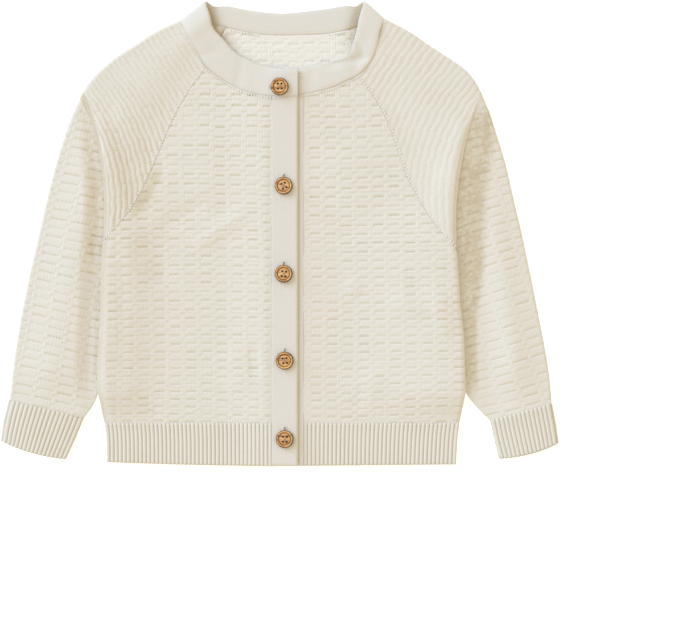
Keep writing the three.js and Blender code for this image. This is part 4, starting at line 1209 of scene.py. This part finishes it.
# seam x, y, free edge x, y, height of the middle, way the outer face looks: 0 up, 180 down
NECKBAND = [
    (-0.4, 95.6, -0.4, 114.5, 3.7, 0), (16.8, 97, 16.5, 115.2, 3.7, 0),
    (24.9, 98.3, 24.9, 117.6, 3.8, 0), (38.2, 102.2, 36.1, 119.7, 4, 0),
    (46.3, 106.1, 43.1, 121.1, 4.1, 0), (54.3, 109.9, 48.2, 124.8, 4.2, 0),
    (63.4, 119, 50.8, 131.6, 4.5, 0), (68.3, 129.7, 53.6, 140, 5, 0),
    (70.4, 140.4, 56, 151.2, 5.6, 15),
    (73.1, 150.9, 59.5, 163.1, 3.5, 90), (61, 146.9, 53.6, 159.6, 1.2, 165),
    (48, 142.1, 45.6, 159.6, 1.1, 180), (31.9, 139.3, 31.9, 157.5, 1.1, 180),
    (14.4, 138.6, 14.4, 155.4, 1.1, 180), (-0.4, 138.3, -0.4, 154.4, 1.1, 180),
    (-15.8, 139.3, -20.7, 156.5, 1.1, 180), (-36.1, 143.5, -36.5, 159.4, 1.1, 180),
    (-56, 147.5, -46.5, 159.6, 1.2, 165), (-69.3, 149.8, -51.8, 163.1, 3.5, 90),
    (-65, 138.6, -48.6, 151.9, 5.6, 15), (-59.2, 129.5, -46.1, 143.5, 5, 0),
    (-51.1, 116.2, -39.2, 135.8, 4.5, 0), (-37.5, 105.7, -30.5, 126.7, 4.2, 0),
    (-25.6, 99.4, -20.7, 121.1, 4.2, 0), (-13.7, 96.3, -8.8, 116.5, 4.8, 0),
    (-1, 95.2, 3.1, 115, 6.3, 0), (12.95, 95.2, 12.95, 114.8, 6.3, 0),
]

band_knit = knit_material("band_knit", (BAND_DEEP, BAND_HOLLOW, BAND_CROWN), 1, 1, 0.12, sheen=0.2)


def neckband_cloth():
    table = np.array(NECKBAND, float)
    steps = (len(table) - 1) * BAND_STEPS
    shares = np.linspace(0, 1, steps + 1)
    seam = centripetal(table[:, [0, 1, 4]], shares)
    edge = centripetal(table[:, [2, 3, 4]], shares)
    turn = np.radians(np.interp(shares * (len(table) - 1), np.arange(len(table)), table[:, 5]))
    across = edge[:, :2] - seam[:, :2]
    width = np.linalg.norm(across, axis=1)
    across = across / width[:, None]
    side = np.where(seam[:, 0] < 0, -1.0, 1.0)
    outward = np.stack([across[:, 1], -across[:, 0], np.zeros(len(side))], 1) * side[:, None]
    normal = outward * np.sin(turn)[:, None]
    normal[:, 2] = np.cos(turn)
    half = BAND_WALL / 2
    inset = normal * [half, half, 0]
    even = np.linspace(0, 1, BAND_ACROSS)
    f = mix((1 - np.cos(np.linspace(0, np.pi, BAND_ACROSS))) / 2, even, 0.5)
    power = np.where(f < 0.5, *BAND_EDGE_POWERS)
    thick = half * np.sqrt(np.clip(1 - np.abs(2 * f - 1) ** power, 0, 1))
    thick[[0, -1]] = 0
    ring_f = np.concatenate([f, f[-2:0:-1]])
    ring_h = np.concatenate([thick, -thick[-2:0:-1]])
    middle = mix(seam[:, None, :], edge[:, None, :], ring_f[None, :, None]) - inset[:, None, :]
    points = middle + normal[:, None, :] * ring_h[None, :, None]
    x, y, z = points[..., 0], points[..., 1], points[..., 2]
    for *ends, half_width, depth in BAND_CREASES:
        along, beside = beside_line(x, y, *ends)
        taper = between(CREASE_RISE, CREASE_FALL, along) * (z > CREASE_ABOVE)
        z -= depth * taper * bump_at(beside, half_width)
    start_x, end_x, slit_y = BAND_SLIT
    in_slit = between((start_x - BAND_SLIT_END, start_x), (end_x, end_x + BAND_SLIT_END), x)
    in_slit = in_slit * bump_at(y - slit_y, BAND_SLIT_HALF) * (z > SLIT_ABOVE)
    z -= BAND_SLIT_DEPTH * in_slit
    z[:] = np.maximum(z, 0)
    rows, ring = points.shape[:2]
    ids = np.arange(rows * ring).reshape(rows, ring)
    after = np.roll(ids, -1, axis=1)
    faces = np.stack([ids[:-1], ids[1:], after[1:], after[:-1]], -1).reshape(-1, 4).tolist()
    faces.append(ids[0].tolist())
    faces.append(ids[-1, ::-1].tolist())
    run = np.cumsum(np.linalg.norm(np.diff((seam + edge) / 2, axis=0), axis=1))
    run = np.concatenate([[0], run])
    knit = np.stack([
        run[:, None] / BAND_STITCH * np.ones((1, ring)),
        ring_f[None, :] * width[:, None] / BAND_STITCH,
    ], -1)
    # Painted shade: darker towards the edges, in the corners behind the band's front, in the slit
    # and in the creases' hollows.
    from_edge = smooth(0, BAND_EDGE_SHARE, np.minimum(ring_f, 1 - ring_f))
    crown = mix(BAND_EDGE_SHADE, 1, from_edge) * np.ones((rows, 1))
    crown = crown - BAND_NECK_TONE * neck_shade(x, y) * (turn[:, None] > BAND_BACK_TURN)
    crown = crown - SLIT_SHADE * in_slit
    crown = crown - hollow_shade(x, y, BAND_SHADES) * (turn[:, None] < BAND_FRONT_TURN)
    points, knit, crown = points.reshape(-1, 3), knit.reshape(-1, 2), crown.ravel()
    return finish_cloth("neckband_cloth", points, faces, knit, crown, band_knit)


neckband = neckband_cloth()
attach(neckband, "root")
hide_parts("neckband")


# The front bands: two straight strips of the same fine knit, linked to the fronts. The button
# band lies under the buttonhole band, and shows only as a narrow strip beside it.
PLACKET_WALL = 1.8
PLACKET_RIGHT_EDGE = 12.95
BUTTON_BAND_LEFT_EDGE = -2.0
BAND_STEP = 0.6
BUTTON_BAND_UNDER = WALL + LAYER_GAP + SEAM_GAP
PLACKET_UNDER = WALL + LAYER_GAP + PLACKET_RISE
BUTTONS = [(0.4, 102.2), (3.2, 32.9), (3.2, -28.7), (3.9, -89.3), (3.9, -144.2)]
HOLE_TOP = 8.2
HOLE_LOW = 3.0
HOLE_TOP_END = 0.7
HOLE_LOW_END = 0.5
HOLE_HALF = 0.45
HOLE_DEPTH = 1.5
# puckers of the cloth below a button: pitch, reach to the side, height, place, reach down
PUCKER_PITCH = 2.6
PUCKER_REACH = 3.5
PUCKER_HEIGHT = 0.16
PUCKER_PLACE = 8.3
PUCKER_DROP = 2.2
BAND_LENGTH = 258
BAND_LENGTH_STEP = 0.9
BAND_RIM = (1.7, 0.75)
# painted shade along the buttonhole band's open rim, and over the button band in the shadow of the
# buttonhole band
RIM_SHADE = 0.45
RIM_FADE = 1.6
UNDER_BAND_SHADE = 0.6


def button_band_top(x):
    (x1, y1), (x2, y2) = NECKBAND[0][:2], NECKBAND[1][:2]
    return y1 + (x - x1) * (y2 - y1) / (x2 - x1) + 2 * BAND_TUCK


def band_cloth(name, left, right, top, under, with_holes):
    shares = np.linspace(0, 1, even_count(right - left, BAND_STEP) + 1)
    downs = np.linspace(0, 1, even_count(BAND_LENGTH, BAND_LENGTH_STEP) + 1)[:, None]
    x = mix(left, right, shares)[None, :] * np.ones_like(downs)
    y = mix(top(x), HEM_BOTTOM, downs)
    wave = 0.10 * np.sin(y / 13 + 1) + 0.06 * np.sin(y / 5.1 + x / 6)
    open_edge = np.where(with_holes, right - x, x - left)
    rim = np.minimum(open_edge, y - HEM_BOTTOM)
    rim_width, rim_drop = BAND_RIM
    lower = rim_drop * (1 - np.sqrt(smooth(-0.01, rim_width, rim)))
    slits = 0 * x
    if with_holes:
        ends = (-HOLE_LOW - HOLE_LOW_END, -HOLE_LOW), (HOLE_TOP, HOLE_TOP + HOLE_TOP_END)
        for centre_x, centre_y in BUTTONS[1:]:
            beside, along = x - centre_x, y - centre_y
            in_slit = between(*ends, along)
            lower = lower + HOLE_DEPTH * bump_at(beside, HOLE_HALF) * in_slit
            slits = slits + bump_at(beside, HOLE_HALF) * in_slit
            puckers = np.cos(beside * 2 * np.pi / PUCKER_PITCH) * bump_at(beside, PUCKER_REACH)
            lower = lower - PUCKER_HEIGHT * puckers * bump_at(along + PUCKER_PLACE, PUCKER_DROP)
    # Painted shade: darker along the rim and in the buttonhole slits; the button band, lying under
    # the other, is painted darker all over as its shadow.
    crown = mix(RIM_SHADE, 1, smooth(0, RIM_FADE, rim)) - SLIT_SHADE * slits
    if not with_holes:
        crown = UNDER_BAND_SHADE + 0 * x
    knit = np.stack([x / BAND_STITCH, -y / BAND_STITCH], -1)
    outer = np.stack([x, y, under + PLACKET_WALL - lower + wave], -1)
    inner = np.stack([x, y, under + 0 * x], -1)[::INSIDE_STEP, ::INSIDE_STEP]
    return cloth_shell(name, outer, inner, knit, np.clip(crown, 0, 1), band_knit)


button_band = band_cloth(
    "placket_left_cloth", BUTTON_BAND_LEFT_EDGE, BUTTON_BAND_RIGHT_EDGE, button_band_top,
    BUTTON_BAND_UNDER, False,
)
buttonhole_band = band_cloth(
    "placket_right_cloth", PLACKET_LEFT_EDGE, PLACKET_RIGHT_EDGE,
    lambda x: NECKBAND[-1][1] + BAND_TUCK + 0 * x, PLACKET_UNDER, True,
)
for piece, node, size, under in (
    (button_band, "placket_left", (0.019, 0.2585), back),
    (buttonhole_band, "placket_right", (0.0184, 0.2583), button_band),
):
    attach(piece, "root")
    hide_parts(node)


# The buttons: five turned discs of light brown wood with a raised rim, a ring groove and four
# holes, each sewn on with crossed strands of light brown thread.
BUTTON_HOLE = 0.8
BUTTON_HOLES = (1.25, 1.65)
BUTTON_TURNS = (3, 20, -8, 6, -2)
# how far the face of each button stands beside its foot
BUTTON_LEANS = ((-0.28, -0.2), (-0.35, 0.12), (-0.3, 0.2), (-0.35, 0.05), (-0.25, 0.28))
# cracks of each button: angle, inner and outer radius, width
BUTTON_CRACKS = (
    ((4, 3.3, 6.4, 0.3), (132, 3.9, 6.4, 0.34)), ((157, 2.9, 6.4, 0.34), (-38, 3.8, 6.4, 0.28)),
    ((-82, 3.4, 6.4, 0.3), (60, 4.2, 6.4, 0.24)), ((175, 3.9, 6.4, 0.26), (20, 4.3, 6.4, 0.24)),
    ((178, 1.2, 6.4, 0.4), (-5, 1.4, 6.4, 0.4)),
)
BUTTON_PROFILE = [
    (0, 0), (3, 0), (5.1, 0.05), (5.8, 0.3), (6.15, 0.7), (6.25, 1.05), (6.15, 1.5), (5.95, 2.0),
    (5.8, 2.4), (5.55, 2.7), (5.25, 2.8), (4.95, 2.65), (4.7, 2.2), (4.5, 1.7), (4.25, 1.5),
    (4.0, 1.6), (3.75, 2.0), (3.4, 2.2), (2.2, 2.28), (0, 2.26),
]
BUTTON_SEGMENTS = 56
HOLE_SEGMENTS = 16
# heights of the drill and of the crack's foot over the button's own foot, and of both tops
HOLE_FOOT = 0.3
CRACK_FOOT = 1.35
DRILL_TOP = 4
SHARP_ANGLE = 50
SIDE_RADIUS = 5.6
RING_RADII = (3.95, 4.72)
WOOD_LIGHT = (0.82, 0.51, 0.215)
# the button's side is painted dark brown, as the shade round its edge
WOOD_SIDE_SHADE = (0.26, 0.12, 0.035)
# its ring groove is painted darker, as the shade in it
WOOD_RING_SHADE = (0.44, 0.23, 0.08)
WOOD_DARK = (0.36, 0.165, 0.055)
# a near-black brown painted as the shade in the holes and cracks and on the button's side
WOOD_SHADE = (0.10, 0.035, 0.01)
WOOD_SHINE = 0.35
GRAIN_WAY = (0.1, 0.2, 0.5)
GRAIN_SCALE = (90, 620, 300)
GRAIN_STOPS = (0.33, 0.58)
GRAIN_BUMP = 0.5
GRAIN_DEPTH = 0.08
PLACKET_TOP = PLACKET_UNDER + PLACKET_WALL
NECKBAND_TOP = NECKBAND[-1][4] + BAND_WALL / 2


def wood_material(name, light, dark):
    """Light brown wood, its grain drawn out along one way, darker in streaks, satin."""
    material, tree, shader = new_material(name, {"Specular IOR Level": WOOD_SHINE})
    place = tree.nodes.new("ShaderNodeTexCoord").outputs["Object"]
    stretch = place_node(tree, "ShaderNodeMapping", {
        "Rotation": GRAIN_WAY, "Scale": GRAIN_SCALE, "Vector": place,
    })
    grain = place_node(tree, "ShaderNodeTexNoise", {
        "Scale": 1.0, "Detail": 5, "Distortion": 0.6, "Vector": stretch.outputs[0],
    })
    tint = place_node(tree, "ShaderNodeValToRGB", {0: grain.outputs["Fac"]})
    for stop, position, colour in zip(tint.color_ramp.elements, GRAIN_STOPS, (dark, light)):
        stop.position = position
        stop.color = (*colour, 1)
    tree.links.new(tint.outputs[0], shader.inputs["Base Color"])
    rough = math_node(tree, "MULTIPLY_ADD", grain.outputs["Fac"], 0.25, 0.38)
    tree.links.new(rough, shader.inputs["Roughness"])
    add_bump(tree, shader, grain.outputs["Fac"], GRAIN_BUMP, GRAIN_DEPTH)
    return material


button_wood = wood_material("button_wood", WOOD_LIGHT, WOOD_DARK)
# Copies of the wood painted darker as shade: for the ring groove, the side, and the holes and
# cracks.
ring_shade_wood = wood_material("ring_shade_wood", WOOD_RING_SHADE, WOOD_DARK)
side_shade_wood = wood_material("side_shade_wood", WOOD_SIDE_SHADE, WOOD_SHADE)
hole_shade_wood = new_material("hole_shade_wood", {"Base Color": (*WOOD_SHADE, 1), "Roughness": 0.8})[0]


def lathe_mesh(profile, segments):
    """A closed mesh turned round Z from a profile that starts and ends on the axis."""
    angles = np.linspace(0, 2 * np.pi, segments, endpoint=False)
    rings = profile[1:-1]
    points = [(0, 0, profile[0][1])]
    for radius, height in rings:
        points += [(radius * math.cos(a), radius * math.sin(a), height) for a in angles]
    points.append((0, 0, profile[-1][1]))
    last = len(points) - 1
    faces = []
    for i in range(segments):
        j = (i + 1) % segments
        faces.append((0, 1 + j, 1 + i))
        for ring in range(len(rings) - 1):
            low, high = 1 + ring * segments, 1 + (ring + 1) * segments
            faces.append((low + i, low + j, high + j, high + i))
        top = 1 + (len(rings) - 1) * segments
        faces.append((last, top + i, top + j))
    return points, faces


def plain_object(name, points, faces, material):
    mesh = bpy.data.meshes.new(name)
    mesh.from_pydata([tuple(v * MM for v in point) for point in points], [], faces)
    mesh.materials.append(material)
    made = bpy.data.objects.new(name, mesh)
    scene.collection.objects.link(made)
    return made


def turned(x, y, along, side, angle):
    """A place given along and beside a line through x, y that is turned by the angle."""
    return (
        x + along * math.cos(angle) - side * math.sin(angle),
        y + along * math.sin(angle) + side * math.cos(angle),
    )


def button_foot(index):
    return (NECKBAND_TOP if index == 0 else PLACKET_TOP) + SEAM_GAP


def drill_shapes(index):
    """Points and faces of what is cut out of a button: its four holes and its cracks."""
    x, y = BUTTONS[index]
    z = button_foot(index)
    turn = math.radians(BUTTON_TURNS[index])
    bore = [(0, HOLE_FOOT), (BUTTON_HOLE, HOLE_FOOT), (BUTTON_HOLE, DRILL_TOP), (0, DRILL_TOP)]
    tube, tube_faces = lathe_mesh(bore, HOLE_SEGMENTS)
    points, faces = [], []
    for sign_x, sign_y in ((-1, -1), (-1, 1), (1, -1), (1, 1)):
        cx, cy = turned(x, y, sign_x * BUTTON_HOLES[0], sign_y * BUTTON_HOLES[1], turn)
        faces += [tuple(v + len(points) for v in face) for face in tube_faces]
        points += [(px + cx, py + cy, pz + z) for px, py, pz in tube]
    for degrees, start, end, width in BUTTON_CRACKS[index]:
        angle = math.radians(degrees)
        box = ((3, 2, 1, 0), (4, 5, 6, 7), (0, 1, 5, 4), (1, 2, 6, 5), (2, 3, 7, 6), (3, 0, 4, 7))
        faces += [tuple(v + len(points) for v in face) for face in box]
        for top, half in ((CRACK_FOOT, 0.02), (DRILL_TOP, width)):
            for along, side in ((start, -half / 3), (end, -half), (end, half), (start, half / 3)):
                points.append((*turned(x, y, along, side, angle), z + top))
    return points, faces


def button_piece(index):
    x, y = BUTTONS[index]
    z = button_foot(index)
    lean_x, lean_y = BUTTON_LEANS[index]
    points, faces = lathe_mesh(BUTTON_PROFILE, BUTTON_SEGMENTS)
    leans = [min(1, point[2] / 2) for point in points]
    points = [
        (px + x + lean_x * lean, py + y + lean_y * lean, pz + z)
        for (px, py, pz), lean in zip(points, leans)
    ]
    disc = plain_object(f"button_{index + 1}_wood", points, faces, button_wood)
    # The cut faces take the near-black wood, painted shade in the holes and cracks.
    cutter = plain_object("drill", *drill_shapes(index), hole_shade_wood)
    drill = disc.modifiers.new("drill", "BOOLEAN")
    drill.operation = "DIFFERENCE"
    drill.object = cutter
    drill.material_mode = "TRANSFER"
    drilled = made_plain(disc)
    bpy.data.objects.remove(cutter)
    drilled.shade_smooth()
    drilled.set_sharp_from_angle(angle=math.radians(SHARP_ANGLE))
    drilled.materials.append(ring_shade_wood)
    drilled.materials.append(side_shade_wood)
    last = len(drilled.materials) - 1
    middle = Vector(((x + lean_x) * MM, (y + lean_y) * MM))
    # Painted shade: faces in the ring groove take the darker ring wood, and faces round the side
    # the dark side wood.
    for face in drilled.polygons:
        if face.material_index == 0 and face.center.z > (z + 0.5) * MM:
            radius = (face.center.xy - middle).length / MM
            in_ring = RING_RADII[0] < radius < RING_RADII[1]
            face.material_index = last if radius > SIDE_RADIUS else (last - 1) * in_ring
    return disc


for index in range(len(BUTTONS)):
    button = button_piece(index)
    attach(button, "root")
    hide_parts(f"button_{index + 1}")


# The sewing: the panels are linked with cream yarn, whose small slanting stitches show beside the
# raglan and neck seams. Each buttonhole is worked round its slit in finer thread, and each button
# is held by crossed strands of light brown thread.
SEAM_STITCH = {"Spacing": 2.3, "Length": 2.7, "Width": 1.15, "Height": 0.7}
NECK_STITCH = {"Spacing": 1.9, "Length": 1.7, "Width": 1.0, "Height": 0.75}
HOLE_STITCH = {"Spacing": 0.62, "Length": 1.5, "Width": 0.55, "Height": 0.5}
YARN_COLOUR = (0.765, 0.725, 0.63)
THREAD_COLOUR = (0.79, 0.765, 0.70)
BUTTON_THREAD_COLOUR = (0.58, 0.37, 0.23)
YARN_ROUGHNESS = 0.9
YARN_SHEEN = 0.2
YARN_TWIST = 500
THREAD_TWIST = 900
PLY_BUMP = 0.6
PLY_DEPTH = 0.1
RAGLAN_SLANT = 62
NECK_SLANT = 68
BACK_SLANT = 75
HOLE_SLANT = 90
HOLE_REACH = 0.95
THREAD_RADIUS = 0.15
THREAD_TOP = 2.42
THREAD_DROP = 1.7
THREAD_CROSS_LIFT = 0.28
THREAD_SHIFT = 0.2


def yarn_material(name, colour, twist):
    """Twisted cotton yarn, matt, with its plies as slanting ridges."""
    material, tree, shader = new_material(name, {
        "Base Color": (*colour, 1), "Roughness": YARN_ROUGHNESS, "Sheen Weight": YARN_SHEEN,
    })
    place = tree.nodes.new("ShaderNodeTexCoord").outputs["Object"]
    plies = place_node(
        tree, "ShaderNodeTexWave", {"Scale": twist, "Distortion": 1.5, "Vector": place},
        bands_direction="DIAGONAL",
    )
    add_bump(tree, shader, plies.outputs["Fac"], PLY_BUMP, PLY_DEPTH)
    return material


seam_yarn = yarn_material("seam_yarn", YARN_COLOUR, YARN_TWIST)
hole_thread = yarn_material("hole_thread", THREAD_COLOUR, THREAD_TWIST)
button_thread = yarn_material("button_thread", BUTTON_THREAD_COLOUR, THREAD_TWIST)


def stitch_tree():
    """Small yarn stitches set along a line at even steps, turned across it by the slant."""
    tree, given, result = group_tree("sew_stitches", [
        ("Spacing", "NodeSocketFloat", 0.002), ("Length", "NodeSocketFloat", 0.002),
        ("Width", "NodeSocketFloat", 0.001), ("Height", "NodeSocketFloat", 0.0005),
        ("Slant", "NodeSocketFloat", 1.2), ("Unevenness", "NodeSocketFloat", 0.12),
        ("Seed", "NodeSocketInt", 3), ("Yarn", "NodeSocketMaterial", None),
    ])
    line = place_node(tree, "GeometryNodeMeshToCurve", {"Mesh": given.outputs["Geometry"]})
    steps = place_node(
        tree, "GeometryNodeResampleCurve",
        {"Curve": line.outputs[0], "Length": given.outputs["Spacing"]}, mode="LENGTH",
    )
    ball = place_node(tree, "GeometryNodeMeshUVSphere", {"Segments": 8, "Rings": 5, "Radius": 0.5})
    size = place_node(tree, "ShaderNodeCombineXYZ", {
        "X": given.outputs["Length"], "Y": given.outputs["Width"], "Z": given.outputs["Height"],
    })
    stitch = place_node(tree, "GeometryNodeTransform", {
        "Geometry": ball.outputs["Mesh"], "Scale": size.outputs[0],
    })
    tangent = tree.nodes.new("GeometryNodeInputTangent").outputs[0]
    along = place_node(tree, "FunctionNodeAlignRotationToVector", {"Vector": tangent}, axis="X")
    low = math_node(tree, "SUBTRACT", 1.0, given.outputs["Unevenness"])
    high = math_node(tree, "ADD", 1.0, given.outputs["Unevenness"])
    chance = place_node(
        tree, "FunctionNodeRandomValue", {"Seed": given.outputs["Seed"]}, data_type="FLOAT",
    )
    for label, limit in (("Min", low), ("Max", high)):
        sockets = (socket for socket in chance.inputs if socket.name == label)
        tree.links.new(limit, next(socket for socket in sockets if socket.type == "VALUE"))
    uneven = next(socket for socket in chance.outputs if socket.type == "VALUE" and socket.enabled)
    slant = math_node(tree, "MULTIPLY", given.outputs["Slant"], uneven)
    angles = place_node(tree, "ShaderNodeCombineXYZ", {"Z": slant})
    turn = place_node(tree, "FunctionNodeEulerToRotation", {0: angles.outputs[0]})
    slanting = place_node(
        tree, "FunctionNodeRotateRotation", {0: along.outputs[0], 1: turn.outputs[0]},
        rotation_space="LOCAL",
    )
    set_out = place_node(tree, "GeometryNodeInstanceOnPoints", {
        "Points": steps.outputs[0], "Instance": stitch.outputs[0],
        "Rotation": slanting.outputs[0], "Scale": uneven,
    })
    real = place_node(tree, "GeometryNodeRealizeInstances", {0: set_out.outputs[0]})
    round_yarn = place_node(tree, "GeometryNodeSetShadeSmooth", {0: real.outputs[0]})
    clothe(tree, round_yarn, given.outputs["Yarn"], result)
    return tree


sew_stitches = stitch_tree()


def sewn(name, lines, sizes, slant, yarn):
    """One piece of stitches along the given lines of points."""
    points, edges = [], []
    for line in lines:
        first = len(points)
        points += [tuple(float(v) * MM for v in point) for point in line]
        edges += [(first + i, first + i + 1) for i in range(len(line) - 1)]
    mesh = bpy.data.meshes.new(name)
    mesh.from_pydata(points, edges, [])
    piece = bpy.data.objects.new(name, mesh)
    scene.collection.objects.link(piece)
    values = {key: value * MM for key, value in sizes.items()}
    shaped(piece, sew_stitches, **values, Slant=math.radians(slant), Yarn=yarn)
    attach(piece, "root")
    return piece


def front_top(x, y):
    return float(front_under(np.array([x]), np.array([y]))[0]) + WALL


def raglan_line(sign, out, lift):
    places = [raglan_point(sign, share) for share in np.linspace(0.02, 0.985, 60)]
    return [(x + sign * out, y, front_top(x, y) + lift) for x, y in places]


def back_raglan_line(sign, out):
    places = [back_seam(sign, share) for share in np.linspace(0.03, 0.97, 40)]
    return [
        (x + sign * out, y, 0.45 + float(body_lift(np.array([x]), np.array([y]), 3)[0]))
        for x, y in places
    ]


def neck_line(sign, stop, drop):
    places = centripetal(NECK_SEAMS[sign], np.linspace(0.03, stop, 70)) - [0, drop]
    return [(x + sign * drop * 0.6, y, front_top(x, y) - 0.05) for x, y in places]


def slit_loop(centre_x, start, end, height, reach, upright):
    """The line round a slit, along which its stitches stand across."""
    turns = np.linspace(0, np.pi, 9)
    far = [(end + reach * math.sin(t), reach * math.cos(t)) for t in turns]
    near = [(start - reach * math.sin(t), -reach * math.cos(t)) for t in turns]
    loop = far + near + far[:1]
    if upright:
        return [(centre_x - across, along, height) for along, across in loop]
    return [(along, centre_x + across, height) for along, across in loop]


for sign, side in ((-1, "right"), (1, "left")):
    lines = [raglan_line(sign, 1.1, -0.12), back_raglan_line(sign, 1.0)]
    slant = -sign * RAGLAN_SLANT
    sewn(f"raglan_stitches_{side}", lines, SEAM_STITCH, slant, seam_yarn)
    line = [neck_line(sign, NECK_STOPS[sign][1], 0.9)]
    sewn(f"neck_stitches_{side}", line, NECK_STITCH, sign * NECK_SLANT, seam_yarn)
back_lines = [
    [
        (x, float(read_table(BACK_NECK, 0, x, 1)) - 0.7, WALL - 0.1)
        for x in np.linspace(start, end, 20)
    ]
    for start, end in ((-34, -15), (35, 47))
]
tack_line = [(x, 93.9, PLACKET_TOP) for x in (-4.9, -2, 1)]
back_lines.append(tack_line)
sewn("neck_stitches_back", back_lines, NECK_STITCH, BACK_SLANT, seam_yarn)
holes = [
    slit_loop(x, y - HOLE_LOW, y + HOLE_TOP, PLACKET_TOP - 0.02, HOLE_REACH, True)
    for x, y in BUTTONS[1:]
]
slit_start, slit_end, slit_middle = BAND_SLIT
holes.append(slit_loop(slit_middle, slit_start, slit_end, NECKBAND_TOP - 0.02, HOLE_REACH, False))
sewn("buttonhole_stitches", holes, HOLE_STITCH, HOLE_SLANT, hole_thread)


def thread_piece(index):
    """Two crossed strands over the middle of a button, from hole to hole, and down through them."""
    x, y = BUTTONS[index]
    base = button_foot(index)
    turn = math.radians(BUTTON_TURNS[index])
    strands = []
    for cross, lift in ((1, 0.0), (-1, THREAD_CROSS_LIFT)):
        for shift in (-THREAD_SHIFT, THREAD_SHIFT):
            strand = []
            for t in np.linspace(-1, 1, 15):
                bend = abs(t) ** 6
                reach, spread = 0.98 - 0.06 * bend, 1 - 0.5 * abs(t)
                px = t * BUTTON_HOLES[0] * reach + shift * spread
                py = cross * t * BUTTON_HOLES[1] * reach - cross * shift * spread
                pz = THREAD_TOP + lift * (1 - t * t) - THREAD_DROP * bend
                strand.append((*turned(x, y, px, py, turn), base + pz))
            strands.append(strand)
    name = f"button_{index + 1}_thread"
    curve = bpy.data.curves.new(name, "CURVE")
    curve.dimensions = "3D"
    curve.bevel_depth = THREAD_RADIUS * MM
    curve.bevel_resolution = 2
    curve.use_fill_caps = True
    for strand in strands:
        spline = curve.splines.new("POLY")
        spline.points.add(len(strand) - 1)
        for point, place in zip(spline.points, strand):
            point.co = (*(v * MM for v in place), 1)
    curve.materials.append(button_thread)
    loose = bpy.data.objects.new(name, curve)
    scene.collection.objects.link(loose)
    graph = bpy.context.evaluated_depsgraph_get()
    mesh = bpy.data.meshes.new_from_object(loose.evaluated_get(graph), depsgraph=graph)
    bpy.data.objects.remove(loose)
    mesh.name = name
    piece = bpy.data.objects.new(name, mesh)
    scene.collection.objects.link(piece)
    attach(piece, "root")
    return piece


for index in range(len(BUTTONS)):
    thread_piece(index)
